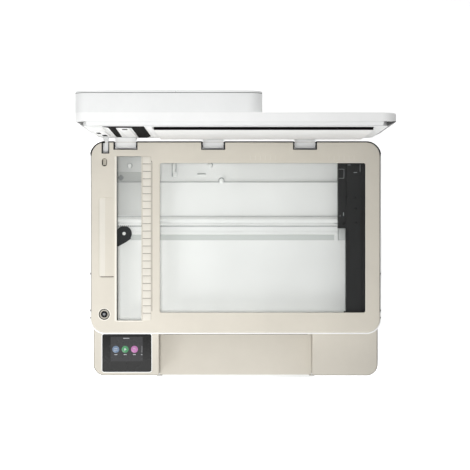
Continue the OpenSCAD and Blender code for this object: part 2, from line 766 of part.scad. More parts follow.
module lid_hinge_pins() color("silver") {
    for (x = hinge_xs) along_x(x - 22.5, x + 22.5, hinge_y, hinge_z, hinge_pin_r - 0.02);
    along_x(cable_x - 9.5, cable_x + 9.5, hinge_y, hinge_z, hinge_pin_r - 0.02);
    for (x = lift_xs) along_x(x - 13, x + 13, lift_y, lift_z, lift_pin_r);
}

// ---------- lid, drawn closed ----------

module lid_shell() color("white") open_lid() {
    difference() {
        translate([0, 0, shell_z]) linear_extrude(lid_t) rounded(-half_w, bed_front, half_w, lid_back, bed_r);
        translate([0, 0, shell_z - 1]) linear_extrude(lid_t - 1.4)
            rounded(-half_w + wall, bed_front + wall, half_w - wall, lid_back - wall, bed_r - wall);
        // way through for the sheets that the feeder turns
        block([-206, -116, lid_top - 3], [-112, 136, lid_top + 1]);
    }
    // hinge arms and the cable guide
    difference() {
        union() {
            for (x = hinge_xs) translate([x, 0, 0]) {
                profile_y(147.3, 154.4) polygon([[-12.5, hinge_z], [12.5, hinge_z], [16.5, 137],
                    [16.5, shell_z + 3], [-16.5, shell_z + 3], [-16.5, 137]]);
                along_x(-12.5, 12.5, hinge_y, hinge_z, 4.4);
            }
            block([cable_x - 4, 147.3, hinge_z - 9], [cable_x + 4, 153, shell_z + 3]);
        }
        for (x = hinge_xs) along_x(x - 20, x + 20, hinge_y, hinge_z, hinge_pin_r + 0.05);
        along_x(cable_x - 10, cable_x + 10, hinge_y, hinge_z, hinge_pin_r + 0.05);
    }
}

module lid_liner() color("whitesmoke") open_lid() difference() {
    translate([0, 0, liner_z]) linear_extrude(shell_z - liner_z) rounded(-205, -120, 205, 147, 12);
    for (x = [[-177, -163], [-140, -123]])
        block([x[0], strip_y, liner_z - 1], [x[1], strip_y + strip_l, shell_z + 1]);
    block([-159, 40, liner_z - 1], [-145, 60, liner_z + 1.5]);
}

// Foam-backed white sheet that presses the page to the glass
module lid_pad() color("whitesmoke") open_lid()
    block([-111, -98, glass_z + glass_t + 0.2], [186.6, 121.5, liner_z]);

module feeder_window() color("black") open_lid() {
    block([-176.7, strip_y + 0.3, liner_z + 1], [-163.3, strip_y + strip_l - 0.3, shell_z - 0.2]);
    block([-139.7, strip_y + 0.3, liner_z + 1], [-123.3, strip_y + strip_l - 0.3, shell_z - 0.2]);
    for (i = [0 : 8]) block([-136, strip_y + 8 + i * 28, liner_z], [-127, strip_y + 14 + i * 28, liner_z + 1.1]);
}

module feeder_body() color("white") open_lid() difference() {
    translate([0, 0, lid_top]) linear_extrude(feeder_h)
        rounded(feeder_x0, bed_front, feeder_x1, lid_back, bed_r);
    translate([0, 0, lid_top - 1]) linear_extrude(feeder_h + 2)
        rounded(feeder_x0 + wall, bed_front + wall, feeder_x1 - wall, lid_back - wall, bed_r - wall);
    // mouth that the sheets leave by
    block([feeder_x1 - 10, -112, lid_top - 1], [feeder_x1 + 1, 132, lid_top + 14]);
}

module input_deck() color("whitesmoke") open_lid() intersection() {
    profile_y(bed_front, lid_back)
        polygon([[deck_x0, deck_z0], [deck_x1, deck_z1], [deck_x1, deck_z1 + 2], [deck_x0, deck_z0 + 2]]);
    translate([0, 0, deck_z0 - 1]) linear_extrude(20)
        rounded(feeder_x0 + wall + 0.3, bed_front + wall + 0.3, feeder_x1 - wall - 0.3,
                lid_back - wall - 0.3, bed_r - wall - 0.3);
}

// Crowned top of the feeder, as a shell between two heights of the arc, over a shadow gap
module dome_layer(inset, z0, drop) {
    intersection() {
        translate([0, 0, z0]) linear_extrude(dome_edge + dome_rise + 1)
            rounded(feeder_x0 + inset, bed_front + inset, feeder_x1 - inset, lid_back - inset, bed_r - inset);
        along_y(bed_front - 1, lid_back + 1, (feeder_x0 + feeder_x1) / 2,
                seam_z + dome_edge + dome_rise - drop - dome_r, dome_r, $fn = 1600);
    }
}

module dome_shell(x0, x1) {
    intersection() {
        difference() {
            dome_layer(0, seam_z + dome_gap, 0);
            dome_layer(4, seam_z, dome_wall);
        }
        block([x0, -200, 150], [x1, 200, 250]);
    }
}

module feeder_cover() color("white") open_lid() dome_shell(feeder_x0 - 1, cover_x);
module feeder_flap() color("white") open_lid() dome_shell(cover_x + 0.5, feeder_x1 + 1);

function deck_top(x) = deck_z0 + 2.3 + (deck_z1 - deck_z0) * (x - deck_x0) / (deck_x1 - deck_x0);

// Upright guide on the input deck; y is its inner face and side the way it faces away
module feeder_guide(y, side) {
    profile_y(min(y, y + side * 3), max(y, y + side * 3))
        polygon([[-70, deck_top(-70)], [-5, deck_top(-5)], [-5, seam_z - 1.5], [-70, seam_z - 1.5]]);
    profile_y(min(y, y - side * 22), max(y, y - side * 22))
        polygon([[-48, deck_top(-48)], [-26, deck_top(-26)], [-26, deck_top(-26) + 1.4], [-48, deck_top(-48) + 1.4]]);
}

module feeder_guide_front() color("lightgray") open_lid() feeder_guide(feeder_mid_y - letter_w / 2 - 1, -1);
module feeder_guide_rear() color("lightgray") open_lid() feeder_guide(feeder_mid_y + letter_w / 2 + 1, 1);

module feeder_shaft(x, z, r) {
    along_y(bed_front + wall + 0.3, lid_back - wall - 0.3, x, z, r);
}

module feeder_drum() color("dimgray") open_lid() {
    along_y(-108, 128, drum_x, drum_z, drum_r);
    feeder_shaft(drum_x, drum_z, 3);
}

module feeder_pick_roller() color("dimgray") open_lid() {
    along_y(feeder_mid_y - 25, feeder_mid_y + 25, feeder_pick_x, feeder_pick_z, feeder_pick_r);
    feeder_shaft(feeder_pick_x, feeder_pick_z, 2.5);
}

// ---------- what is drawn ----------

base_pan();
rubber_feet();
left_cover();
right_cover();
rear_cover();
front_deck();
output_floor();
touch_panel();
print_frame();
carriage_rod();
platen();
service_station();
mainboard();
drive_motors();
power_supply();
usb_port();
paper_tray();
tray_guide_left();
tray_guide_right();
length_guide();
output_extender();
pick_arm();
pick_roller();
feed_roller();
exit_roller();
idler_gear();
motor_pinion();
pinch_rollers();
print_carriage();
cartridge_black();
cartridge_colour();
carriage_belt();
drive_pulley();
idle_pulley();
rear_door();
power_button();
scanner_tray();
scanner_rear_band();
scanner_bezel();
scan_glass();
feeder_glass();
size_ruler();
scan_rack();
cable_anchor();
lid_sensor();
scan_carriage();
scan_pinion();
lid_hinge_pins();
lid_shell();
lid_liner();
lid_pad();
feeder_window();
feeder_body();
input_deck();
feeder_cover();
feeder_flap();
feeder_guide_front();
feeder_guide_rear();
feeder_drum();
feeder_pick_roller();
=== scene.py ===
import json
import math
import bmesh
import bpy
from mathutils import Matrix, Vector

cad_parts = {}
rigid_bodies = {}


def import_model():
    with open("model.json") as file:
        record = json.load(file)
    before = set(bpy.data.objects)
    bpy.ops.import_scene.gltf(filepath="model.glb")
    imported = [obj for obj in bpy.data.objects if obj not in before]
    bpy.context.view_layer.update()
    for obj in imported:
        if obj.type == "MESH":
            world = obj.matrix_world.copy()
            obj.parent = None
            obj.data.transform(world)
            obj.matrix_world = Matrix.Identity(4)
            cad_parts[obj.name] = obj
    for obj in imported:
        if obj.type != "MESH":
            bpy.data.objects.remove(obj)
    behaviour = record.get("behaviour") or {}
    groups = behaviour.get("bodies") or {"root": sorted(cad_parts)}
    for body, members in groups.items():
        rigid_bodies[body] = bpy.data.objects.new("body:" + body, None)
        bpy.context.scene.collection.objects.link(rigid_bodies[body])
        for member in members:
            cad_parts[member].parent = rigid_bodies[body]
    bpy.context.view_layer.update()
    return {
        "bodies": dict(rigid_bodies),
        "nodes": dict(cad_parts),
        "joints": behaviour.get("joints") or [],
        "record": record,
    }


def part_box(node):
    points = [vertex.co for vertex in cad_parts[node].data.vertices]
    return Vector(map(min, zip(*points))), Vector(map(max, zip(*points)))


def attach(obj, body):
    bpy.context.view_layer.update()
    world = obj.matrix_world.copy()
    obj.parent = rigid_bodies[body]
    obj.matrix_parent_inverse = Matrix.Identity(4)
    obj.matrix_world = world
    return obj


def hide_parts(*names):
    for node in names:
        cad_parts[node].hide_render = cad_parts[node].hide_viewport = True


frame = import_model()
nodes = frame["nodes"]
record = frame["record"]
bodyOf = {node: body for body, names in record["behaviour"]["bodies"].items() for node in names}
scene = bpy.context.scene
mm = 0.001
print("frame loaded:", len(nodes), "nodes")


def low(node):
    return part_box(node)[0]


def high(node):
    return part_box(node)[1]


def inMm(point):
    return Vector(point) / mm


def boxInMm(node):
    return [inMm(corner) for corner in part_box(node)]


# Node trees: one class wraps a socket, and arithmetic on it adds Math nodes

class Wire:
    def __init__(self, tree, socket=None):
        self.tree = tree
        self.socket = socket

    def make(self, kind, settings=None, inputs=None, output=0):
        node = self.tree.nodes.new(kind)
        for name, value in (settings or {}).items():
            if name == "stops":
                fillRamp(node.color_ramp.elements, value)
            else:
                setattr(node, name, value)
        for name, value in (inputs or {}).items():
            if isinstance(value, Wire):
                self.tree.links.new(value.socket, node.inputs[name])
            else:
                node.inputs[name].default_value = value
        return Wire(self.tree, node.outputs[output]) if node.outputs else node

    def math(self, operation, left, right=0.0):
        return self.make("ShaderNodeMath", {"operation": operation}, {0: left, 1: right})

    def __add__(self, other):
        return self.math("ADD", self, other)

    def __radd__(self, other):
        return self.math("ADD", other, self)

    def __sub__(self, other):
        return self.math("SUBTRACT", self, other)

    def __rsub__(self, other):
        return self.math("SUBTRACT", other, self)

    def __mul__(self, other):
        return self.math("MULTIPLY", self, other)

    def __rmul__(self, other):
        return self.math("MULTIPLY", other, self)

    def __truediv__(self, other):
        return self.math("DIVIDE", self, other)

    def __gt__(self, other):
        return self.math("GREATER_THAN", self, other)

    def __lt__(self, other):
        return self.math("LESS_THAN", self, other)

    def absolute(self):
        return self.math("ABSOLUTE", self)

    def sine(self):
        return self.math("SINE", self)

    def axes(self):
        return [self.make("ShaderNodeSeparateXYZ", inputs={"Vector": self}, output=i) for i in range(3)]

    def noise(self, size, detail=2.0, stretch=(1, 1, 1)):
        place = self.make("ShaderNodeMapping", inputs={"Vector": self, "Scale": stretch})
        return self.make("ShaderNodeTexNoise", inputs={"Vector": place, "Scale": 1 / size, "Detail": detail})

    def between(self, first, second):
        return self.make("ShaderNodeMix", {"data_type": "RGBA"}, {0: self, 6: first, 7: second}, 2)

    def relief(self, strength, distance):
        return self.make("ShaderNodeBump", inputs={"Strength": strength, "Distance": distance, "Height": self})

    def spread(self, first, last):
        return self.make("ShaderNodeMapRange", inputs={"Value": self, "From Min": first, "From Max": last})


def fillRamp(elements, stops):
    while len(elements) < len(stops):
        elements.new(1.0)
    for element, (place, colour) in zip(elements, stops):
        element.position = place
        element.color = colour


def rgba(colour, shade=1.0):
    return tuple(min(1.0, part * shade) for part in colour[:3]) + (1.0,)


def newMaterial(name):
    material = bpy.data.materials.new(name)
    material.use_nodes = True
    material.node_tree.nodes.clear()
    root = Wire(material.node_tree)

    def finish(shader):
        # shader is a socket, or the inputs of a Principled shader
        if isinstance(shader, dict):
            shader = root.make("ShaderNodeBsdfPrincipled", inputs=shader)
        root.make("ShaderNodeOutputMaterial", inputs={"Surface": shader})
        return material
    return root, root.make("ShaderNodeTexCoord", output="Object"), finish


# Colours of the mouldings and the other finishes, as linear values
plasticColours = {
    "lidWhite": (0.83, 0.84, 0.835),
    "coverWhite": (0.79, 0.80, 0.795),
    "floorWhite": (0.90, 0.903, 0.90),
    "warmBeige": (0.672, 0.633, 0.553),
    "deckBeige": (0.575, 0.542, 0.476),
    "ivory": (0.72, 0.69, 0.62),
    # painted highlight colour for the pale lips round the windows
    "paintedHighlightIvory": (0.84, 0.81, 0.73),
    # painted shade colour for dark lines and strips
    "paintedShadeBrown": (0.15, 0.135, 0.115),
    # dark brown for painted shade in the sensor's well, and for the bezel's joint line
    "jointAndShadeBrown": (0.48, 0.45, 0.385),
    # dark grey for painted shade lines and grip ticks, and for the feeder's joint ring
    "jointAndShadeGrey": (0.09, 0.09, 0.09),
    # painted shade colours for the floor beside the narrow glass
    "paintedShadeGrey": (0.57, 0.58, 0.57),
    "paintedShadeGreyLight": (0.69, 0.695, 0.69),
    # brighter white, as painted light on parts in shade
    "paintedLightWhite": (0.93, 0.935, 0.93),
    "jetBlack": (0.018, 0.018, 0.019),
    "headBlack": (0.029, 0.029, 0.030),
    "shellWhite": (0.90, 0.905, 0.90),
    # black for the feeder's slots and for a painted shadow strip
    "slotAndShadowBlack": (0.004, 0.004, 0.004),
    "trimBlack": (0.008, 0.008, 0.009),
    "partGrey": (0.33, 0.34, 0.35),
    "paleGrey": (0.60, 0.61, 0.61),
    "padWhite": (0.85, 0.845, 0.83),
    "cyanPlastic": (0.05, 0.22, 0.42),
}
# roughness, grain depth in mm, coat and specular of the mouldings that differ from the rest
plasticFinish = {"warmBeige": (0.42, 0.016, 0.05), "deckBeige": (0.42, 0.016, 0.05), "jetBlack": (0.5, 0.03),
                 "headBlack": (0.5, 0.02, 0.0, 0.3), "slotAndShadowBlack": (0.8, 0.02, 0.0, 0.05), "padWhite": (0.55, 0.006),
                 "cyanPlastic": (0.35,)}
plasticLook = {"grain": 0.45 * mm, "mottle": 70 * mm, "swirl": 9 * mm, "tone": 0.035, "sheen": 0.10}


def mouldedPlastic(name, colour, roughness=0.45, depth=0.012, coat=0.0, specular=0.5):
    # spark-eroded grain, faint flow marks and a little uneven gloss
    root, place, finish = newMaterial(name)
    grain = place.noise(plasticLook["grain"], 3.0)
    flow = place.noise(plasticLook["mottle"], 2.0)
    swirl = place.noise(plasticLook["swirl"], 3.0)
    shade = (flow * 0.7 + swirl * 0.2 + grain * 0.1).spread(0.3, 0.7)
    tone = plasticLook["tone"]
    paint = shade.between(rgba(colour, 1 - tone), rgba(colour, 1 + tone))
    gloss = roughness + (swirl - 0.5) * plasticLook["sheen"] + (grain - 0.5) * plasticLook["sheen"]
    return finish({
        "Base Color": paint, "Roughness": gloss, "Normal": grain.relief(0.5, depth * mm), "Coat Weight": coat,
        "Coat Roughness": 0.12, "Specular IOR Level": specular})


metalLook = {"streak": 0.35 * mm, "length": 18, "tone": 0.12, "depth": 0.004}


def drawnMetal(name, colour, roughness=0.3, along=0):
    # fine lines along one axis, as on drawn rod and rolled sheet
    root, place, finish = newMaterial(name)
    stretch = [1.0, 1.0, 1.0]
    stretch[along] = 1 / metalLook["length"]
    lines = place.noise(metalLook["streak"], 2.0, stretch)
    smear = place.noise(30 * mm, 2.0)
    tone = metalLook["tone"]
    paint = lines.between(rgba(colour, 1 - tone), rgba(colour, 1 + tone))
    gloss = roughness + (lines - 0.5) * 0.18 + (smear - 0.5) * 0.16
    return finish({
        "Base Color": paint, "Metallic": 1.0, "Roughness": gloss,
        "Normal": lines.relief(0.4, metalLook["depth"] * mm)})


def groundRubber(name, colour, roughness=0.75, pitch=0.9 * mm, along=0):
    # rubber with the fine grinding lines of a feed roller
    root, place, finish = newMaterial(name)
    ripple = (place.axes()[along] * (2 * math.pi / pitch)).sine() * 0.5 + 0.5
    dust = place.noise(4 * mm, 4.0)
    paint = dust.between(rgba(colour, 0.8), rgba(colour, 1.5))
    return finish({
        "Base Color": paint, "Roughness": roughness + (dust - 0.5) * 0.2,
        "Normal": (ripple * 0.6 + dust * 0.4).relief(0.5, 0.05 * mm), "Specular IOR Level": 0.3})


def clearGlass(name, tint=(0.985, 0.99, 0.985), mirror=0.06):
    # thin plate glass: what is behind it shows, with a faint reflection
    root, place, finish = newMaterial(name)
    smear = place.noise(45 * mm, 3.0)
    through = root.make("ShaderNodeBsdfTransparent", inputs={"Color": rgba(tint)})
    gloss = root.make("ShaderNodeBsdfGlossy", inputs={"Color": (1, 1, 1, 1), "Roughness": 0.03 + smear * 0.03})
    share = root.make("ShaderNodeFresnel", inputs={"IOR": 1.5}) * mirror
    shader = root.make("ShaderNodeMixShader", inputs={0: share, 1: through, 2: gloss})
    return finish(shader)


def touchGlass(name, screenLow, screenHigh):
    # black cover glass; the lit display under it is a shade lighter than its border
    root, place, finish = newMaterial(name)
    x, y = place.axes()[:2]
    middle = (screenLow + screenHigh) / 2
    half = (screenHigh - screenLow) / 2
    inside = ((x - middle.x).absolute() < half.x) * ((y - middle.y).absolute() < half.y)
    haze = place.noise(20 * mm, 3.0)
    fade = (y - screenLow.y) / (screenHigh.y - screenLow.y)
    screen = fade.between((0.050, 0.050, 0.052, 1), (0.040, 0.040, 0.042, 1))
    edge = fade.between((0.040, 0.040, 0.040, 1), (0.018, 0.018, 0.018, 1))
    paint = inside.between(edge, screen)
    light = inside.between((0, 0, 0, 1), (0.008, 0.008, 0.008, 1))
    return finish({
        "Base Color": paint, "Roughness": 0.20 + haze * 0.14, "Specular IOR Level": 0.3,
        "Emission Color": light, "Emission Strength": 1.0})


def printedIcon(name, colour, glow=0.06):
    root, place, finish = newMaterial(name)
    dither = place.noise(0.6 * mm, 2.0)
    paint = dither.between(rgba(colour, 0.93), rgba(colour, 1.07))
    light = dither.between(rgba(colour, glow * 0.95), rgba(colour, glow))
    return finish({
        "Base Color": paint, "Roughness": 0.3, "Emission Color": light, "Emission Strength": 1.0})


def foamRubber(name, colour):
    # open-cell foam
    root, place, finish = newMaterial(name)
    cells = root.make("ShaderNodeTexVoronoi", inputs={"Vector": place, "Scale": 1 / (0.8 * mm)})
    paint = cells.between(rgba(colour, 0.6), rgba(colour, 1.5))
    return finish({
        "Base Color": paint, "Roughness": 0.95 - cells * 0.1, "Normal": cells.relief(0.8, 0.25 * mm),
        "Specular IOR Level": 0.1})


def circuitBoard(name, boardTop):
    # lacquered board with copper tracks; whatever stands above it is black or tinned
    root, place, finish = newMaterial(name)
    z = place.axes()[2]
    mesh = root.make("ShaderNodeTexBrick", {"offset": 0.35, "squash": 0.6}, {
        "Vector": place, "Scale": 1 / (9 * mm), "Mortar Size": 0.03, "Color1": (0.02, 0.13, 0.06, 1),
        "Color2": (0.03, 0.17, 0.08, 1), "Mortar": (0.06, 0.27, 0.13, 1)})
    part = place.noise(14 * mm, 0.0) > 0.5
    parts = part.between((0.012, 0.012, 0.013, 1), (0.05, 0.05, 0.052, 1))
    paint = (z > boardTop + 0.05 * mm).between(mesh, parts)
    return finish({
        "Base Color": paint, "Roughness": 0.3 + place.noise(2 * mm) * 0.2, "Coat Weight": 0.2})


def cableFilm(name, height, share):
    # grey ribbon cable on the scanner's floor, and the dark clip that holds its end
    root, place, finish = newMaterial(name)
    y, z = place.axes()[1:]
    ribs = (y * (2 * math.pi / (1.0 * mm))).sine() * 0.5 + 0.5
    film = ribs.between((0.58, 0.60, 0.59, 1), (0.68, 0.70, 0.69, 1))
    grain = place.noise(0.8 * mm, 3.0)
    clip = grain.between((0.022, 0.023, 0.025, 1), (0.040, 0.042, 0.045, 1))
    lifted = z > height
    return finish({
        "Base Color": lifted.between(film, clip), "Roughness": share + grain * 0.2})


looks = {name: mouldedPlastic(name, colour, *plasticFinish.get(name, ())) for name, colour in plasticColours.items()}
metals = {"drawnSteel": ((0.62, 0.62, 0.63), 0.25), "zincSheet": ((0.55, 0.56, 0.57), 0.42),
          "brass": ((0.75, 0.55, 0.25), 0.3, 1)}
rubbers = {"blackRubber": ((0.030, 0.030, 0.031),), "greyRubber": ((0.10, 0.10, 0.105),),
           "footRubber": ((0.05, 0.05, 0.05), 0.85, 1.4 * mm)}
looks.update({name: drawnMetal(name, *values) for name, values in metals.items()})
looks.update({name: groundRubber(name, *values) for name, values in rubbers.items()})
looks["clearGlass"] = clearGlass("clearGlass")
looks["blackFoam"] = foamRubber("blackFoam", (0.005, 0.005, 0.005))
looks["circuitBoard"] = circuitBoard("circuitBoard", 13.6 * mm)
looks["cableFilm"] = cableFilm("cableFilm", 97 * mm, 0.35)
print("materials made:", len(looks))


# CAD shells: a copy of each, with its edges rounded, stands for the node

softening = {"weld": 0.01 * mm, "flat": math.radians(0.15), "sharp": math.radians(25), "crease": math.radians(50),
             "least": 0.03}


def putLook(piece, look):
    piece.data.materials.clear()
    piece.data.materials.append(looks[look])


def addToScene(name, data):
    piece = bpy.data.objects.new(name, data)
    scene.collection.objects.link(piece)
    return piece


def soften(node, look, fine, broad=0.0, where=None, steps=2, keep=None):
    mesh = nodes[node].data.copy()
    piece = addToScene(node + "_shell", mesh)
    form = bmesh.new()
    form.from_mesh(mesh)
    bmesh.ops.remove_doubles(form, verts=form.verts, dist=softening["weld"])
    bmesh.ops.dissolve_limit(form, angle_limit=softening["flat"], verts=form.verts, edges=form.edges)
    widest = max(fine, broad)
    weight = form.edges.layers.float.new("bevel_weight_edge")
    for edge in form.edges:
        if len(edge.link_faces) == 2 and edge.calc_face_angle(0) > softening["sharp"]:
            middle = (edge.verts[0].co + edge.verts[1].co) / 2
            size = broad if broad and where(middle) else fine
            if keep is not None and keep(middle):
                size = softening["least"]
            edge[weight] = size / widest
    for face in form.faces:
        face.smooth = True
    form.to_mesh(mesh)
    form.free()
    rounding = piece.modifiers.new("Rounded edges", "BEVEL")
    rounding.limit_method = "WEIGHT"
    rounding.width = widest * mm
    rounding.segments = steps
    rounding.use_clamp_overlap = False
    shading = piece.modifiers.new("Flat faces", "WEIGHTED_NORMAL")
    shading.keep_sharp = True
    putLook(piece, look)
    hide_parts(node)
    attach(piece, bodyOf[node])


bezelLow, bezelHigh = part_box("scanner_bezel")
bedTop = inMm(bezelHigh).z
near = 0.2 * mm  # how close an edge lies to the face it belongs to


def topEdge(node, radius, alsoIf=lambda p: True):
    # true for a point on the upper edge of a node with rounded corners
    lowest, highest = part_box(node)

    def where(p):
        off = [abs(p[i] - (lowest[i] + highest[i]) / 2) - (highest[i] - lowest[i]) / 2 + radius for i in (0, 1)]
        outside = math.hypot(max(off[0], 0), max(off[1], 0)) + min(max(off), 0)
        return p.z > highest.z - near and abs(outside - radius) < 4 * near and alsoIf(p)
    return where


lidTop = low("feeder_body").y
feederEnd = high("feeder_body").x


def lidEdge(p):
    # the lid's upper edge is rounded where the feeder doesn't stand on it
    return p.y > lidTop - near and p.x > feederEnd + 0.5 * mm


def feederEdge(p):
    return p.y > high("feeder_body").y + 1.5 * mm


# look, edge radius, nodes, then larger radius, where that one holds, steps, and where edges stay almost sharp
shells = [
    ("warmBeige", 0.5, "scanner_bezel", 1.4, topEdge("scanner_bezel", 20 * mm), 3),
    ("floorWhite", 0.3, "scanner_tray"),
    ("deckBeige", 0.35, "front_deck", 1.2, topEdge("front_deck", 16 * mm, lambda p: p.y < bezelLow.y), 3),
    ("deckBeige", 0.3, "output_floor"),
    ("jetBlack", 0.35, "touch_panel", 0.0, None, 3),
    ("shellWhite", 0.4, "lid_shell", 2.2, lidEdge, 4, lambda p: abs(p.y - lidTop) < near and p.x < feederEnd),
    ("coverWhite", 0.5, "lid_liner"),
    ("lidWhite", 0.35, "feeder_body", 0.0, None, 2, lambda p: abs(p.y - lidTop) < near),
    ("lidWhite", 0.35, "feeder_cover feeder_flap", 1.0, feederEdge, 3),
    ("coverWhite", 0.4, "input_deck left_cover right_cover"),
    ("coverWhite", 0.5, "base_pan"),
    ("lidWhite", 0.5, "paper_tray"),
    ("coverWhite", 0.4, "output_extender"),
    ("jetBlack", 0.35, "rear_cover rear_door"),
    ("jetBlack", 0.4, "scanner_rear_band"),
    ("headBlack", 0.5, "print_carriage"),
    ("headBlack", 0.5, "scan_carriage", 1.2, lambda p: p.z > high("scan_carriage").z - near),
    ("jetBlack", 0.8, "cartridge_black"),
    ("cyanPlastic", 0.8, "cartridge_colour"),
    ("paleGrey", 0.4, "tray_guide_left tray_guide_right length_guide feeder_guide_front feeder_guide_rear"),
    ("partGrey", 0.6, "service_station"),
    ("jetBlack", 0.4, "power_supply"),
    ("paleGrey", 0.5, "power_button"),
    ("footRubber", 0.5, "rubber_feet"),
    ("partGrey", 0.4, "pick_arm"),
    ("headBlack", 0.2, "platen"),
]
for look, radius, names, *extra in shells:
    for node in names.split():
        soften(node, look, radius, *extra)
# the drawer keeps its square edges and flat faces
drawer = bpy.data.objects["paper_tray_shell"]
drawer.modifiers.clear()
drawer.data.shade_flat()
print("shells rounded")

keptLooks = {
    "zincSheet": "print_frame drive_motors usb_port", "drawnSteel": "carriage_rod feed_roller lid_hinge_pins",
    "circuitBoard": "mainboard", "greyRubber": "pick_roller feeder_drum", "paleGrey": "idler_gear",
    "blackRubber": "exit_roller pinch_rollers carriage_belt feeder_pick_roller", "brass": "motor_pinion drive_pulley",
    "partGrey": "idle_pulley lid_sensor", "clearGlass": "scan_glass feeder_glass", "floorWhite": "scan_rack",
    "cableFilm": "cable_anchor", "ivory": "scan_pinion",
}
for look, names in keptLooks.items():
    for node in names.split():
        putLook(nodes[node], look)


# Mesh building: parts are collected into one bmesh, each with its own material number

class Shape:
    def __init__(self):
        self.form = bmesh.new()

    def add(self, part, look):
        bmesh.ops.recalc_face_normals(part, faces=part.faces[:])
        for face in part.faces:
            face.material_index = look
            face.smooth = True
        for edge in part.edges:
            edge.smooth = edge.calc_face_angle(0) < softening["crease"]
        mesh = bpy.data.meshes.new("part")
        part.to_mesh(mesh)
        part.free()
        self.form.from_mesh(mesh)
        bpy.data.meshes.remove(mesh)

    def block(self, lowest, highest, rounding=0.3, look=0, steps=2):
        part = bmesh.new()
        bmesh.ops.create_cube(part, size=1)
        size = Vector(highest) - Vector(lowest)
        middle = (Vector(highest) + Vector(lowest)) / 2
        for vert in part.verts:
            vert.co = Vector([vert.co[i] * size[i] + middle[i] for i in range(3)]) * mm
        if rounding:
            bmesh.ops.bevel(part, geom=part.edges[:], offset=rounding * mm, segments=steps, profile=0.5,
                            affect="EDGES", clamp_overlap=True)
        self.add(part, look)

    def slabs(self, rows, near, far, rounding=0.3, up=2):
        # rectangles in the plane across the axis up, all between the same two heights
        for a0, b0, a1, b1 in rows:
            lowest, highest = [a0, b0], [a1, b1]
            lowest.insert(up, near)
            highest.insert(up, far)
            self.block(lowest, highest, rounding)

    def prism(self, outline, start, depth, rounding=0.3, look=0):
        # outline is a list of points, depth the way it is drawn out
        part = bmesh.new()
        verts = [part.verts.new(Vector(p) * mm + Vector(start) * mm) for p in outline]
        face = part.faces.new(verts)
        grown = bmesh.ops.extrude_face_region(part, geom=[face])
        moved = [item for item in grown["geom"] if isinstance(item, bmesh.types.BMVert)]
        bmesh.ops.translate(part, verts=moved, vec=Vector(depth) * mm)
        bmesh.ops.recalc_face_normals(part, faces=part.faces[:])
        if rounding:
            hard = [edge for edge in part.edges if edge.calc_face_angle(0) > softening["sharp"]]
            bmesh.ops.bevel(part, geom=hard, offset=rounding * mm, segments=2, profile=0.5,
                            affect="EDGES", clamp_overlap=True)
        self.add(part, look)

    def turned(self, centre, profile, axis="Z", look=0, steps=32):
        # profile is a list of (radius, height) round an axis through centre
        part = bmesh.new()
        rings = []
        for radius, height in profile:
            ring = []
            for i in range(steps):
                angle = 2 * math.pi * i / steps
                ring.append(part.verts.new(Vector((radius * math.cos(angle), radius * math.sin(angle), height)) * mm))
            rings.append(ring)
        for first, second in zip(rings, rings[1:]):
            for i in range(steps):
                j = (i + 1) % steps
                part.faces.new((first[i], first[j], second[j], second[i]))
        bmesh.ops.remove_doubles(part, verts=part.verts, dist=softening["weld"])
        rims = [edge for edge in part.edges if len(edge.link_faces) == 1]
        if rims:
            bmesh.ops.holes_fill(part, edges=rims, sides=0)
        turns = {"Z": Matrix.Identity(3), "Y": Matrix.Rotation(-math.pi / 2, 3, "X"),
                 "X": Matrix.Rotation(math.pi / 2, 3, "Y")}
        for vert in part.verts:
            vert.co = turns[axis] @ vert.co + Vector(centre) * mm
        self.add(part, look)

    def finish(self, name, materials, body, slot):
        mesh = bpy.data.meshes.new(name)
        self.form.to_mesh(mesh)
        self.form.free()
        for material in materials:
            mesh.materials.append(looks[material])
        piece = addToScene(name, mesh)
        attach(piece, body)
        return piece


# Repeats: a bar or screw placed along a row by Geometry Nodes, then made a plain mesh

def rowTree(material):
    tree = bpy.data.node_groups.new("rowOfParts", "GeometryNodeTree")
    face = tree.interface
    face.new_socket("Geometry", in_out="OUTPUT", socket_type="NodeSocketGeometry")
    for name, kind in (("Part", "Object"), ("Count", "Int"), ("Start", "Vector"), ("Step", "Vector"), ("Rows", "Int"),
                       ("Row Step", "Vector")):
        face.new_socket(name, in_out="INPUT", socket_type="NodeSocket" + kind)
    root = Wire(tree)
    given = tree.nodes.new("NodeGroupInput")

    def value(name):
        return Wire(tree, given.outputs[name])
    line = root.make("GeometryNodeMeshLine", inputs={
        "Count": value("Count"), "Start Location": value("Start"), "Offset": value("Step")})
    rows = root.make("GeometryNodeMeshLine", inputs={"Count": value("Rows"), "Offset": value("Row Step")})
    part = root.make("GeometryNodeObjectInfo", inputs={"Object": value("Part")}, output="Geometry")
    single = root.make("GeometryNodeInstanceOnPoints", inputs={"Points": line, "Instance": part})
    grid = root.make("GeometryNodeInstanceOnPoints", inputs={"Points": rows, "Instance": single})
    real = root.make("GeometryNodeRealizeInstances", inputs={"Geometry": grid})
    dressed = root.make("GeometryNodeSetMaterial", inputs={"Geometry": real, "Material": material})
    root.make("NodeGroupOutput", inputs={"Geometry": dressed})
    return tree


def repeatInRow(name, shape, look, body, count, start, step, rows=1, rowStep=(0, 0, 0)):
    mesh = bpy.data.meshes.new("partMesh")
    shape.form.to_mesh(mesh)
    shape.form.free()
    part = addToScene("partToRepeat", mesh)
    holder = addToScene("rowHolder", bpy.data.meshes.new("rowMesh"))
    modifier = holder.modifiers.new("Row", "NODES")
    tree = rowTree(looks[look])
    modifier.node_group = tree
    values = {"Part": part, "Count": count, "Start": Vector(start) * mm, "Step": Vector(step) * mm,
              "Rows": rows, "Row Step": Vector(rowStep) * mm}
    for item in tree.interface.items_tree:
        if item.in_out == "INPUT":
            modifier[item.identifier] = values[item.name]
    plain = bpy.data.meshes.new_from_object(holder.evaluated_get(bpy.context.evaluated_depsgraph_get()))
    holder.modifiers.remove(modifier)
    bpy.data.objects.remove(holder)
    bpy.data.objects.remove(part)
    plain.name = name
    piece = addToScene(name, plain)
    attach(piece, body)
    return piece


# Scanner bed: what is seen on and under the bezel

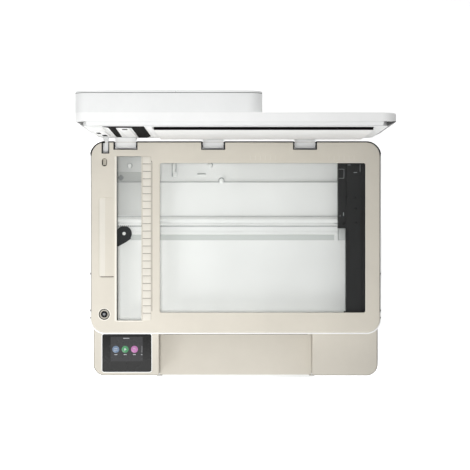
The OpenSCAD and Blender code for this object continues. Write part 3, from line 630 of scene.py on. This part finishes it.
bed = {"lipWidth": 3.2, "lipRise": 0.45, "seam": 0.5, "rightShade": 0.95, "inset": 5.8}
sensorWell = {"outer": 8.2, "depth": 3.5, "rim": 1.3, "collar": 5.0, "bore": 3.4, "pin": 3.0, "halo": 1.3}
hollow = {"x0": -204.4, "x1": -180.8, "y0": -47.2, "y1": 71.7, "depth": 1.2, "crest": (-195.4, -189.0),
          "crestRise": 0.75, "ends": 2.4}
hingeArms = (-165, -33.6, 104)  # the wide arms' middles; the narrow one stands at the sensor
corners = ((1, 1, 0), (-1, 1, 90), (-1, -1, 180), (1, -1, 270))


def arcOf(x0, y0, x1, y1, radius, corner, steps=10):
    # points with outward normals round one corner: rear right, rear left, front left, front right
    right, rear, start = corners[corner]
    cx = x1 - radius if right > 0 else x0 + radius
    cy = y1 - radius if rear > 0 else y0 + radius
    found = []
    for i in range(steps + 1):
        angle = math.radians(start + 90 * i / steps)
        c, d = math.cos(angle), math.sin(angle)
        found.append((cx + radius * c, cy + radius * d, c, d))
    return found


def addSeam(form, path, width, z, look=0, closed=True):
    # flat strip of one width that follows a path of points with outward normals
    part = bmesh.new()
    rings = []
    for x, y, nx, ny in path:
        rings.append([part.verts.new(Vector((x + nx * reach, y + ny * reach, height)) * mm)
                      for reach, height in ((0, z[0]), (width, z[0]), (width, z[1]), (0, z[1]))])
    for first, second in zip(rings, rings[1:] + (rings[:1] if closed else [])):
        for i in range(4):
            j = (i + 1) % 4
            part.faces.new((first[i], second[i], second[j], first[j]))
    if not closed:
        part.faces.new(rings[0])
        part.faces.new(rings[-1])
    form.add(part, look)


def wholeOutline(x0, y0, x1, y1, radius):
    return [point for corner in range(4) for point in arcOf(x0, y0, x1, y1, radius, corner)]


def makeBedDetails():
    stripLow, stripHigh = boxInMm("feeder_glass")
    top = bedTop
    sensor = inMm((low("lid_sensor") + high("lid_sensor")) / 2)
    edge = stripLow.x + 3.3
    y0, y1 = stripLow.y + 2.8, stripHigh.y - 2.8
    floor = top - sensorWell["depth"]
    outer, rim, halo, collar, bore = (sensorWell[part] for part in ("outer", "rim", "halo", "collar", "bore"))
    centre = (sensor.x, sensor.y, 0)
    lip = Shape()
    # painted highlights: pale lips beside and before the narrow glass, round the sensor's well, right of the scan
    # window
    lip.block((edge - bed["lipWidth"], y0 - 1.4, top - 3), (edge - 0.1, y1, top + bed["lipRise"]), 0.4)
    lip.block((edge - 2, y0 - 1.6, top - 3), (stripHigh.x - 1, y0 - 0.1, top + bed["lipRise"]), 0.4)
    lip.turned(centre, [(outer, top - 1), (outer, top + 0.2), (outer + 0.5, top + 0.35),
               (outer + halo, top + 0.1), (outer + halo, top - 1)], steps=48)
    glassLow, glassHigh = boxInMm("scan_glass")
    right, rear, front = glassHigh.x - bed["inset"], glassHigh.y - bed["inset"], glassLow.y + bed["inset"]
    lip.slabs([(right + 0.05, front + 2, right + 1.1, rear - 2), (right - 43, rear + 0.05, right - 1, rear + 0.9)],
              top - 2, top + 0.2)
    lip.finish("window_lip", ["paintedHighlightIvory"], "scanner_unit", "ivory_plastic")
    # black collar round the sensor's pin; painted shade in the ring at the well's outer edge, in the two bars along
    # the narrow glass's left edge and in the floor of the small recess beside the well
    dark = Shape()
    dark.turned(centre, [(outer, floor), (outer, top - 0.1), (outer - rim, top - 0.4),
                (outer - rim, floor)], steps=48)
    dark.turned(centre, [(collar, floor), (collar, top - 1.2), (collar - 0.5, top - 0.7), (bore + 0.4, top - 0.7),
                (bore, top - 1.2), (bore, floor)], steps=48)
    dark.block((edge, y0, top - 3.2), (edge + 1.0, 15, top - 2.2), 0.1)
    dark.block((edge, 15, top - 3.2), (edge + 0.6, y1, top - 2.2), 0.1)
    dark.block((-201.5, 118, top - 4.9), (-191.5, 132, top - 4.5), 0.1)
    dark.finish("sensor_collar", ["trimBlack"], "scanner_unit", "black_plastic")
    pinHigh = inMm(high("lid_sensor"))
    reach = sensorWell["pin"]
    cap = Shape()
    cap.turned(centre, [(reach - 0.05, pinHigh.z - 1), (reach - 0.05, pinHigh.z + 0.05),
               (1.9, pinHigh.z + 0.25), (1.9, pinHigh.z - 1)], steps=40)
    cap.turned(centre, [(0.6, pinHigh.z - 0.4), (0.6, pinHigh.z + 0.2), (0, pinHigh.z + 0.2)],
               steps=20)
    cap.finish("sensor_cap", ["trimBlack"], bodyOf["lid_sensor"], "black_plastic")
    # painted shade: the well's floor and the small recess beside it in a darker brown than the beige, where shade
    # falls
    well = Shape()
    well.turned(centre, [(outer - rim - 0.1, floor), (outer - rim - 0.1, top - 0.5),
                (collar + 0.1, top - 0.6), (collar + 0.1, floor)], steps=48)
    well.block((-199.2, 120.6, top - 4.9), (-193.5, 130.6, top - 3.0), 0.6)
    well.finish("sensor_well", ["jointAndShadeBrown"], "scanner_unit", "beige_casing")


def makeBedSeams():
    # joint between the bezel and the rim round it, painted shade along the bezel's sides, black rear band and notch
    # liners, grip ticks
    top = bedTop
    rimTop = inMm(high("scanner_tray")).z
    x, y0, y1 = inMm(bezelHigh).x, inMm(bezelLow).y, inMm(bezelHigh).y
    joint = Shape()
    addSeam(joint, wholeOutline(-x, y0, x, y1, 20), bed["seam"], (rimTop - 0.6, rimTop + 0.1))
    joint.finish("bezel_joint", ["jointAndShadeBrown"], "scanner_unit", "beige_casing")
    # painted shade: dark lines along the bezel's long sides, wider on the right where more shade falls; the short
    # bars are grip ticks
    sides = Shape()
    z = (rimTop - 0.5, rimTop + 0.16)
    sides.block((x, y0 + 30, z[0]), (x + bed["rightShade"], y1 - 20, z[1]), 0.05)
    sides.block((-x - 0.6, y0 + 30, z[0]), (-x, y1 - 20, z[1]), 0.05)
    for side in (-1, 1):
        for y in (-42, -97, -108):
            middle = side * (x + 1.6)
            sides.block((middle - 0.8, y - 1, rimTop - 0.5), (middle + 0.8, y + 1, rimTop + 0.25), 0.1)
    sides.finish("rim_lines", ["jointAndShadeGrey"], "scanner_unit", "black_plastic")
    band = Shape()
    wide, narrow = 17.7, 5.5
    hinges = [(-195, narrow)] + [(middle, wide) for middle in hingeArms]
    z = (top - 2.2, top - 0.7)
    starts = [-x + 20] + [middle + half for middle, half in hinges]
    ends = [middle - half for middle, half in hinges] + [x - 20]
    for start, end in zip(starts, ends):
        band.block((start, y1 - 0.9, z[0]), (end, y1 + 1.25, z[1]), 0.2)
    for corner in (0, 1):
        path = [(px - nx * 0.9, py - ny * 0.9, nx, ny) for px, py, nx, ny in arcOf(-x, y0, x, y1, 20, corner)]
        addSeam(band, path, 2.1, z, closed=False)
    for middle, half in hinges:
        front = 144 if half == wide else 138.4
        wall = 1.5 if half == wide else 1.3
        for side in (-1, 1):
            inner, outer = sorted((middle + side * (half - wall), middle + side * (half + 0.3)))
            band.block((inner, front - 0.3, top - 9), (outer, y1 + 1.2, top + 0.1), 0.2)
        band.block((middle - half, front - 0.4, top - 9), (middle + half, front + 0.85, top + 0.1), 0.2)
    band.finish("band_and_liners", ["trimBlack"], "scanner_unit", "black_plastic")


def makeHollow():
    # two long slopes that meet in a low crest, closed by a steep wall at each end
    top = bedTop
    h = hollow
    floor = top - h["depth"]
    x = [h["x0"], h["crest"][0], h["crest"][1], h["x1"]]
    z = [floor + 0.15, floor + h["crestRise"], floor + h["crestRise"], floor + 0.3]
    part = bmesh.new()
    lines = []
    for y, rise in ((h["y0"], 0), (h["y0"] + h["ends"], 1), (h["y1"] - h["ends"], 1), (h["y1"], 0.4)):
        lines.append([part.verts.new(Vector((x[i], y, floor + 0.05 + (z[i] - floor) * rise)) * mm) for i in range(4)])
    for first, second in zip(lines, lines[1:]):
        for i in range(3):
            part.faces.new((first[i], first[i + 1], second[i + 1], second[i]))
    grown = bmesh.ops.extrude_face_region(part, geom=part.faces[:])
    for item in grown["geom"]:
        if isinstance(item, bmesh.types.BMVert):
            item.co.z = (floor - 0.2) * mm
    form = Shape()
    form.add(part, 0)
    # painted light: the faces left of the crest take the lighter ivory
    for face in form.form.faces:
        middle = face.calc_center_median().x / mm
        face.smooth = False
        face.material_index = 1 if middle < h["crest"][0] else 0
    form.finish("grip_hollow", ["warmBeige", "ivory"], "scanner_unit", "beige_casing")


ruler = {"cell": 10.5, "pitch": 11.18, "cells": 22, "edge": -125.4, "edgeTop": 126.5, "edgeEnd": -98}


def makeRuler():
    # ribbed ramp: one cell between two grooves, repeated along the strip
    stripLow, stripHigh = boxInMm("size_ruler")
    top = bedTop
    cell = Shape()
    profile = [(stripLow.x + 0.6, 0, 0), (stripLow.x + 1.0, 0, 0.55), (stripLow.x + 4.6, 0, 0.85),
               (stripLow.x + 12.8, 0, 0.75), (stripLow.x + 13.5, 0, 0)]
    cell.prism(profile, (0, 0, top), (0, ruler["cell"], 0), 0.2)
    piece = repeatInRow("ruler_cells", cell, "ivory", "scanner_unit", ruler["cells"],
                        (0, stripLow.y + 0.1, 0), (0, ruler["pitch"], 0))
    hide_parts("size_ruler")
    edge, y0, y1 = ruler["edge"], ruler["edgeEnd"], ruler["edgeTop"]
    line = Shape()
    # painted shade: a dark base that shows in the grooves between the cells, a dark line and corner along the ruler's
    # edge, and a dark strip at the front end of the hollow
    line.block((stripLow.x + 0.7, stripLow.y + 0.5, top - 0.3), (stripLow.x + 13.3, stripHigh.y - 1, top + 0.3), 0.05)
    line.block((edge - 0.3, y0, top - 0.2), (edge + 0.4, y1 - 1.5, top + 0.12), 0.05)
    line.prism([(edge - 4.2, y1 + 1.2, 0), (edge - 1.4, y1, 0), (edge - 0.3, y1 - 1.5, 0), (edge + 0.4, y1 - 1.5, 0),
                (edge - 0.4, y1 + 0.6, 0)], (0, 0, top - 0.2), (0, 0, 0.32), 0)
    x0, x1, y0 = hollow["x0"], hollow["x1"], hollow["y0"]
    line.block((x0 + 2, y0 + 0.1, top - 1.1), (x1 - 2, y0 + 1.2, top - 0.5), 0.2)
    line.finish("ruler_line", ["paintedShadeBrown"], "scanner_unit", "beige_casing")


makeBedDetails()
makeBedSeams()
makeHollow()

trayDetails = {"floor": 95.5, "shelf": 101.5, "rail": 100.0, "railTop": 104.9}


def makeTrayDetails():
    floor, shelf, rail = trayDetails["floor"], trayDetails["shelf"], trayDetails["rail"]
    base = floor - 0.2
    ribs = Shape()
    # bent cable clip, slot and bosses at the back of the scanner's floor, and the anchor's post
    ribs.block((-96, 111, base), (-91, 125, floor + 5), 0.8)
    ribs.block((-94.5, 105, base), (-88.5, 112, floor + 7), 0.8)
    for x, y, height in ((-39, 121.7, 5.7), (-21.5, 98.4, 7.6)):
        tip = floor + height
        ribs.turned((x, y, 0), [(3.5, floor), (3.5, tip - 0.6), (2.9, tip), (0, tip)])
    ribs.block((-57.7, 105.6, base), (-46.3, 108.4, floor + 2.6), 0.8)
    ribs.turned((-169.4, 18.2, 0), [(2.6, floor), (2.6, floor + 6.6), (2.2, floor + 7.0), (1.0, floor + 7.0),
                (0.9, floor + 5), (0, floor + 5)], steps=24)
    ribs.turned((-161, 121.5, 0), [(3.2, floor), (3.2, floor + 6), (2.6, floor + 6.6), (0, floor + 6.6)])
    ribs.block((-163.0, 117.5, base), (-159.0, 121.5, floor + 6.2), 0.8)
    ribs.block((-206, 32.3, base), (150, 35, trayDetails["railTop"]), 0)
    # the ribs and bosses take the brighter white, as painted light
    ribs.finish("floor_ribs", ["paintedLightWhite"], "scanner_unit", "white_casing")
    shade = Shape()
    # painted shade: thin plates, darker than the floor, laid on the floor beside the narrow glass where shade falls
    shade.block((-205, 97.6, base), (-131, 112, floor + 0.25), 0.05)
    shade.block((-205, 112, base), (-131, 140, floor + 0.15), 0.05, 1)
    shade.block((-205, 46, shelf - 0.2), (-131, 95.8, shelf + 0.15), 0.05, 1)
    shade.finish("floor_plates", ["paintedShadeGrey", "paintedShadeGreyLight"], "scanner_unit", "white_casing")
    # painted shadows: dark lines at the floor's steps, beside the rack, over the slot and beside the clip, and dark
    # discs round the bosses
    lines = Shape()
    for x0, y0, x1, y1, rise in ((-212, 96.1, 212, 97.3, 0.7), (-206, 28.6, 212, 31.0, 1.0),
                                 (-58.5, 108.3, -45.5, 109.6, 1.2), (-97.0, 105, -95.8, 125, 0.8),
                                 (-91.1, 111.8, -90.2, 125, 0.8)):
        lines.block((x0, y0, base), (x1, y1, floor + rise), 0.1)
    lines.block((-212, 44.2, rail - 0.2), (212, 45.0, rail + 0.8), 0.1)
    for x, y, radius in ((-38.6, 122.2, 4.0), (-21.5, 99.2, 4.4), (-161, 121.6, 4.0)):
        lines.turned((x, y, 0), [(radius, floor), (radius, floor + 0.9), (0, floor + 0.9)])
    lines.finish("floor_lines", ["partGrey"], "scanner_unit", "grey_plastic")
    hole = Shape()
    hole.prism([(0, -5, 0), (5, 0, 0), (0, 5, 0), (-5, 0, 0)], (-174.6, 103.2, floor), (0, 0, 0.4), 0.1)
    hole.finish("floor_hole", ["partGrey"], "scanner_unit", "grey_plastic")


makeTrayDetails()


def makeScanHeadDetails():
    headLow, headHigh = boxInMm("scan_carriage")
    top = headHigh.z
    side = headLow.x
    lens = Shape()
    lens.block((189.0, headLow.y + 9, top - 0.6), (190.2, headHigh.y - 14, top + 0.15), 0.1)
    lens.block((headHigh.x - 4.5, headLow.y + 3, top - 0.6), (headHigh.x - 3.2, headHigh.y - 3, top + 0.5), 0.2)
    lens.block((168.5, headLow.y + 3, top - 0.6), (169.2, 28, top + 0.3), 0.2)
    for x, y in ((180.3, 55), (180.7, 34), (178.8, 71.6), (166.8, 73), (162, 33)):
        lens.turned((x, y, 0), [(2.3, top - 1), (2.3, top + 0.25), (1.9, top + 0.45), (0, top + 0.45)], steps=20)
    lens.finish("sensor_lens", ["trimBlack"], "scan_head", "black_plastic")
    marks = Shape()
    # thin raised frame, clips and bars on the wide end
    marks.slabs([(side + 1, 101, side + 9, 101.5), (side + 1, 114.7, side + 9, 115.2),
                 (side + 8.6, 101, side + 9.1, 115.2), (168.3, 120.9, 172.8, 121.7), (177.3, 109.5, 182.6, 110.4),
                 (186.8, 110.7, 187.4, 122), (161.6, 44.6, 162.8, 50), (156.6, 44, 157.6, 45.4)],
                top - 0.5, top + 0.2, 0.1)
    marks.finish("head_marks", ["partGrey"], "scan_head", "grey_plastic")
    clip = Shape()
    clip.block((side + 1, 8, 111), (165.8, 25.6, 112.2), 0.4)
    clip.block((side + 1, 8, 106), (side + 2.2, 25.6, 112.2), 0.4)
    clip.finish("ribbon_clip", ["paleGrey"], "scan_head", "grey_plastic")


makeScanHeadDetails()
print("scanner details made")


# Touch panel: display, round icons with plain signs, and bars where a name would be

icons = {"colours": {"iconBlue": (0.145, 0.20, 0.29), "iconGreen": (0.075, 0.25, 0.12),
                     "iconPink": (0.41, 0.16, 0.35), "iconGrey": (0.13, 0.13, 0.135)},
         "x": -182.7, "pitch": 14.2, "y": -158.4, "radius": 5.3, "barDrop": 8.0, "thickness": 0.12}
screenLow = Vector((-190.6, -176.7, 0)) * mm
screenHigh = Vector((-141.7, -139.3, 0)) * mm


def makeScreen():
    top = inMm(high("touch_panel")).z
    looks["touchGlass"] = touchGlass("touchGlass", screenLow, screenHigh)
    putLook(bpy.data.objects["touch_panel_shell"], "touchGlass")
    for name, colour in icons["colours"].items():
        looks[name] = printedIcon(name, colour)
    looks["iconWhite"] = printedIcon("iconWhite", (0.50, 0.51, 0.53))
    discs = Shape()
    signs = Shape()
    lift = top + icons["thickness"]
    y, r = icons["y"], icons["radius"]
    barY = y - icons["barDrop"]
    # two bars, an arrow and a corner, as plain signs
    bars = [((-2.6, 0.9, 2.6, 1.5), (-2.6, -1.5, 2.6, -0.9)), (), ((-2, 1.1, 1.4, 1.7), (0.8, -1.8, 1.4, 1.7))]
    for i, rows in enumerate(bars):
        x = icons["x"] + i * icons["pitch"]
        discs.turned((x, y, 0), [(r, top - 0.2), (r, lift - 0.04), (r - 0.04, lift), (0, lift)], look=i, steps=48)
        signs.block((x - 2.2, barY - 0.45, top - 0.1), (x + 2.2, barY + 0.45, lift), 0.05)
        signs.slabs([(x + a0, y + b0, x + a1, y + b1) for a0, b0, a1, b1 in rows], lift - 0.1, lift + 0.08, 0.05)
        if not rows:
            signs.prism([(-1.2, 2, 0), (-1.2, -2, 0), (2.2, 0, 0)], (x, y, lift - 0.1), (0, 0, 0.18), 0.03)
    edge = inMm(screenHigh).x
    discs.block((edge - 2.0, icons["y"] - 5, top - 0.1), (edge - 0.4, icons["y"] + 5, lift), 0.3, 3)
    signs.block((edge - 2.6, icons["y"] - 8.5, top - 0.1), (edge - 0.6, icons["y"] - 7.6, lift), 0.05)
    signs.block((-171.5, -142.0, top - 0.1), (-162.0, -141.2, lift), 0.1)
    discs.finish("screen_icons", ["iconBlue", "iconGreen", "iconPink", "iconGrey"], "base", "touch_glass")
    signs.finish("screen_signs", ["iconWhite"], "base", "touch_glass")


makeScreen()


deckTrim = {"lipWidth": 1.0, "lipRise": 0.35, "sideShade": 1.1, "sideShadeDrop": 4.0, "radius": 16}


def makeDeckTrim():
    panelLow, panelHigh = boxInMm("touch_panel")
    deckLow, deckHigh = boxInMm("front_deck")
    top = deckHigh.z
    edge = 0.25
    # painted highlight: a pale lip round the panel's pocket in the deck
    lip = Shape()
    addSeam(lip, wholeOutline(panelLow.x - edge, panelLow.y - edge, panelHigh.x + edge, panelHigh.y + edge, 3.2),
            deckTrim["lipWidth"], (top - 1, top + deckTrim["lipRise"]))
    lip.finish("panel_lip", ["lidWhite"], "base", "beige_casing")
    frame = Shape()
    glassTop = panelHigh.z
    addSeam(frame, wholeOutline(panelLow.x + 0.7, panelLow.y + 0.7, panelHigh.x - 0.7, panelHigh.y - 0.7, 2.4),
            0.8, (glassTop - 0.6, glassTop + 0.06))
    frame.block((panelLow.x + 1, panelHigh.y - 2.0, glassTop - 0.6),
                (panelHigh.x - 1, panelHigh.y - 0.5, glassTop + 0.06), 0.05)
    frame.finish("panel_frame", ["trimBlack"], "base", "touch_glass")
    # painted shade: a dark line low on the sides of the deck, where the deck's side stands in shade
    sideShade = Shape()
    x0, y0, x1, y1 = deckLow.x + 0.2, deckLow.y + 0.2, deckHigh.x - 0.2, deckHigh.y
    z = (top - deckTrim["sideShadeDrop"], top - 1.4)
    left = [(x0, -120, -1, 0)] + arcOf(x0, y0, x1, y1, deckTrim["radius"], 2) + [(-112, y0, 0, -1)]
    right = [(112, y0, 0, -1)] + arcOf(x0, y0, x1, y1, deckTrim["radius"], 3) + [(x1, -120, 1, 0)]
    for path in (left, right):
        addSeam(sideShade, path, deckTrim["sideShade"], z, closed=False)
    sideShade.finish("deck_bead", ["paintedShadeBrown"], "base", "beige_casing")
    floorHigh = inMm(high("output_floor"))
    # painted shadow: a dark strip on the output floor under the scanner's front rim
    shadow = Shape()
    shadow.block((-112, -138.4, floorHigh.z - 1.4), (112, -137.2, floorHigh.z - 0.2), 0.2)
    shadow.finish("floor_groove", ["paintedShadeBrown"], "base", "beige_casing")


makeDeckTrim()


# Lid: the document pad, and the feeder's workings that show on its underside

pad = {"foamEdge": 0.3, "sheet": 0.25, "overlap": 0.2}


def makePad():
    padLow, padHigh = boxInMm("lid_pad")
    foam = Shape()
    foam.block((padLow.x + pad["overlap"], padLow.y + pad["sheet"], padLow.z + pad["overlap"]),
               (padHigh.x - pad["overlap"], padHigh.y, padHigh.z - 0.2), pad["foamEdge"], 0, 3)
    foamPiece = foam.finish("pad_foam", ["blackFoam"], "lid", "pad")
    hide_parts("lid_pad")
    sheet = Shape()
    sheet.block((padLow.x, padLow.y, padLow.z), (padHigh.x, padLow.y + pad["sheet"], padHigh.z), 0.2)
    sheet.finish("pad_sheet", ["padWhite"], "lid", "pad")


makePad()


def makeLidUnderside():
    linerLow, linerHigh = boxInMm("lid_liner")
    front = linerLow.y
    plates = Shape()
    # white guide plate between the two dark strips, with its slot and sprung feet
    plates.slabs([(-178.5, 132, -161.8, 389), (-143.5, 132, -121.8, 389)], front + 0.2, front + 1.4, 0.2, 1)
    plates.block((-160.5, front - 0.8, 150), (-146, front + 1, 360), 0.4)
    plates.block((-121.0, front - 1.2, 148), (-112.6, front + 1, 384), 0.4)
    for z in (160, 215, 270, 325, 375):
        plates.block((-119.8, front - 1.35, z - 4), (-114, front + 0.5, z + 4), 0.4)
    plates.block((-203, front - 0.8, 300), (-181, front + 1, 364), 0.5)
    plates.block((-199, front - 1.3, 180), (-184, front + 1, 290), 0.5)
    # the plates take the brighter white, as painted light on the lid's shaded underside
    plates.finish("guide_plates", ["paintedLightWhite"], "lid", "white_casing")
    dark = Shape()
    # the two strips under one dark slot
    outline = ((-179.6, 389), (-123.7, 389), (-125.2, 172), (-133, 134), (-145, 134), (-141.6, 364), (-163.5, 364),
               (-169.4, 150), (-177.2, 150), (-173, 364))
    dark.prism([(x, 0, z) for x, z in outline], (0, front - 0.4, 0), (0, 0.8, 0), 0)
    dark.slabs([(-197.5, 246, -192, 276), (-193.5, 190, -187, 222)], front - 1.45, front - 1, 0.1, 1)
    dark.block((-156, front - 1.1, 330), (-149, front - 0.6, 346), 0.1)
    padLow, padHigh = boxInMm("lid_pad")
    # painted shadow: a black strip along the pad's upper edge, between the pad and the liner
    dark.block((padLow.x, front - 0.5, padHigh.z - 0.2), (padHigh.x, front + 0.2, padHigh.z + 5), 0.1)
    strips = dark.finish("feeder_trim", ["slotAndShadowBlack"], "lid", "black_plastic")
    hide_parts("feeder_window")
    # sloping skirt between the shell's rim and the liner, white in front; the dark strip on the right is painted
    # shade
    shellTop = inMm(high("lid_shell")).z
    rear = linerHigh.y
    skirt = Shape()
    skirt.prism([(0, rear + 0.3, shellTop - 1.6), (0, rear - 0.4, shellTop - 1.2),
                 (0, front + 0.9, linerHigh.z - 0.3), (0, front + 1.6, linerHigh.z - 1.4),
                 (0, rear + 0.3, linerHigh.z - 1.4)], (-200, 0, 0), (398, 0, 0), 0.1)
    skirt.finish("lid_skirt", ["lidWhite"], "lid", "white_casing")
    # painted shade: a dark sloping strip under the lid's right side
    dark = Shape()
    right = linerHigh.x
    dark.prism([(214.8, rear + 0.3, 0), (214.8, rear - 0.3, 0), (right + 0.2, front + 1.2, 0),
                (right - 1, front + 1.6, 0), (right - 1, rear + 0.3, 0)],
               (0, 0, linerLow.z + 8), (0, 0, linerHigh.z - linerLow.z - 4), 0.1)
    dark.finish("lid_side_seal", ["jointAndShadeGrey"], "lid", "black_plastic")


makeLidUnderside()

feederSeam = {"inset": 0.45, "bottom": 0.05, "top": 0.6, "radius": 20}


def makeFeederSeam():
    # dark ring in the gap under the crowned top; drawn flat, then stood up with the open lid
    bodyLow, bodyHigh = boxInMm("feeder_body")
    inset = feederSeam["inset"]
    ring = Shape()
    path = [(x - nx * inset, y - ny * inset, nx, ny) for x, y, nx, ny in
            wholeOutline(bodyLow.x, bodyLow.z, bodyHigh.x, bodyHigh.z, feederSeam["radius"])]
    addSeam(ring, path, inset - 0.1, (feederSeam["bottom"], feederSeam["top"]))
    for vert in ring.form.verts:
        vert.co = (vert.co.x, bodyHigh.y * mm + vert.co.z, vert.co.y)
    bmesh.ops.recalc_face_normals(ring.form, faces=ring.form.faces[:])
    ring.finish("feeder_seam", ["jointAndShadeGrey"], "lid", "black_plastic")


makeFeederSeam()


# Hinge arms: ribs on the flat of each wide arm, and a cap over the narrow one, in a brighter white than the lid as
# painted light on arms in shade

hingeTop = 130.2


def makeHingeTrim():
    trim = Shape()
    top = hingeTop
    for x in hingeArms:
        trim.block((x - 15.4, 146.6, top - 0.6), (x + 15.4, 166.5, top), 0.2)
        for offset in (-9, 9):
            trim.block((x + offset - 0.7, 153.6, top - 0.3), (x + offset + 0.7, 166.2, top + 0.25), 0.2)
    trim.block((-198.8, 141.4, top - 1.6), (-191.2, 166.5, top), 0.2)
    trim.finish("hinge_ribs", ["paintedLightWhite"], "lid", "white_casing")


makeHingeTrim()
print("lid details made")


# Screws, vents and ribs, each placed in a row

def screw(axis):
    part = Shape()
    part.turned((0, 0, 0), [(0, 0.2), (0.9, 0.2), (1.1, 0.9), (2.4, 0.9), (2.9, 0.5), (3.0, -0.6)], axis, 0, 24)
    return part


def makeRows():
    back = inMm(high("rear_cover")).y
    vents = Shape()
    vents.block((-1.3, -0.1, -7), (1.3, 0.55, 7), 0.4)
    repeatInRow("rear_vents", vents, "headBlack", "base", 12, (112, back, 62), (5.2, 0, 0))
    repeatInRow("rear_screws", screw("Y"), "drawnSteel", "base", 2, (-190, back, 30), (380, 0, 0),
                2, (0, 0, 48))
    rib = Shape()
    rib.block((-0.9, -70, 0), (0.9, 70, 0.5), 0.2)
    trayLow = inMm(low("paper_tray"))
    repeatInRow("drawer_ribs", rib, "lidWhite", "drawer", 5, (-44, -10, trayLow.z + 2.15),
                (22, 0, 0))
    line = Shape()
    line.block((-0.35, -3.4, 0), (0.35, 3.4, 0.25), 0.1)
    repeatInRow("bezel_marks", line, "ivory", "scanner_unit", 6, (22, 131.5, bedTop - 0.1),
                (7.5, 0, 0), 2, (118, 0, 0))
    groove = Shape()
    groove.block((-108, -0.5, 0), (108, 0.5, 0.45), 0.15)
    repeatInRow("pan_ribs", groove, "coverWhite", "base", 8, (0, -140, 5.4), (0, 30, 0))


makeRows()
makeRuler()
print("repeated parts made")


# Studio: white floor, a soft overhead lamp that fades to the rear right, camera straight above

studio = {"floor": 6.0, "floorTone": (0.93, 0.93, 0.93), "glow": 0.45, "sky": 0.30}
# the back lamp lights the raised lid's upper edges; the lid keeps it off the bed
lamps = {
    "keyLight": {"kind": "AREA", "place": (-1.1, -1.2, 1.5), "aim": (0, 0, 0.1), "energy": 12.0, "size": 1.0},
    "topLight": {"kind": "SPOT", "place": (-0.10, -0.10, 4.0), "aim": (-0.30, -0.38, 0.1), "energy": 492.0,
                 "shadow_soft_size": 0.35, "spot_size": 2 * math.atan(0.85 / 3.9), "spot_blend": 1.0},
    "frontLight": {"kind": "AREA", "place": (-0.4, -2.6, 0.95), "aim": (0, 0.1, 0.25), "energy": 18.0, "size": 1.2},
    "backLight": {"kind": "SPOT", "place": (-0.05, 2.27, 1.81), "aim": (-0.02, 0.33, 0.40), "energy": 106.0,
                  "shadow_soft_size": 0.1, "spot_size": math.radians(32), "spot_blend": 0.6},
}
view = {"x": -0.9 * mm, "y": 16 * mm, "height": 2.600, "lens": 126.0, "sensor": 36.0}


def makeFloor():
    root, place, finish = newMaterial("studioFloor")
    paper = place.noise(0.3, 2.0)
    material = finish({
        "Base Color": paper.between(rgba(studio["floorTone"], 0.995), rgba(studio["floorTone"])),
        "Roughness": 0.9, "Emission Color": (1, 1, 1, 1), "Emission Strength": studio["glow"]})
    mesh = bpy.data.meshes.new("floorMesh")
    half = studio["floor"] / 2
    mesh.from_pydata([(-half, -half, 0), (half, -half, 0), (half, half, 0), (-half, half, 0)], [], [(0, 1, 2, 3)])
    mesh.materials.append(material)
    addToScene("studio_floor", mesh)


def addLamp(name, values):
    lamp = bpy.data.lights.new(name, values["kind"])
    for key, value in values.items():
        if key not in ("kind", "place", "aim"):
            setattr(lamp, key, value)
    holder = addToScene(name, lamp)
    holder.location = values["place"]
    holder.rotation_euler = (Vector(values["aim"]) - holder.location).to_track_quat("-Z", "Y").to_euler()
    holder.visible_glossy = name == "keyLight"  # the others leave no highlight


def makeStudio():
    makeFloor()
    world = bpy.data.worlds.new("studioSky")
    scene.world = world
    world.use_nodes = True
    backdrop = world.node_tree.nodes["Background"]
    backdrop.inputs["Color"].default_value = (1, 1, 1, 1)
    backdrop.inputs["Strength"].default_value = studio["sky"]
    for name, values in lamps.items():
        addLamp(name, values)
    camera = bpy.data.cameras.new("viewCamera")
    camera.lens = view["lens"]
    camera.sensor_width = view["sensor"]
    camera.clip_end = 50
    holder = addToScene("viewCamera", camera)
    holder.location = (view["x"], view["y"], view["height"])
    scene.camera = holder
    scene.view_settings.view_transform = "Standard"
    scene.view_settings.look = "None"


makeStudio()
print("studio made")
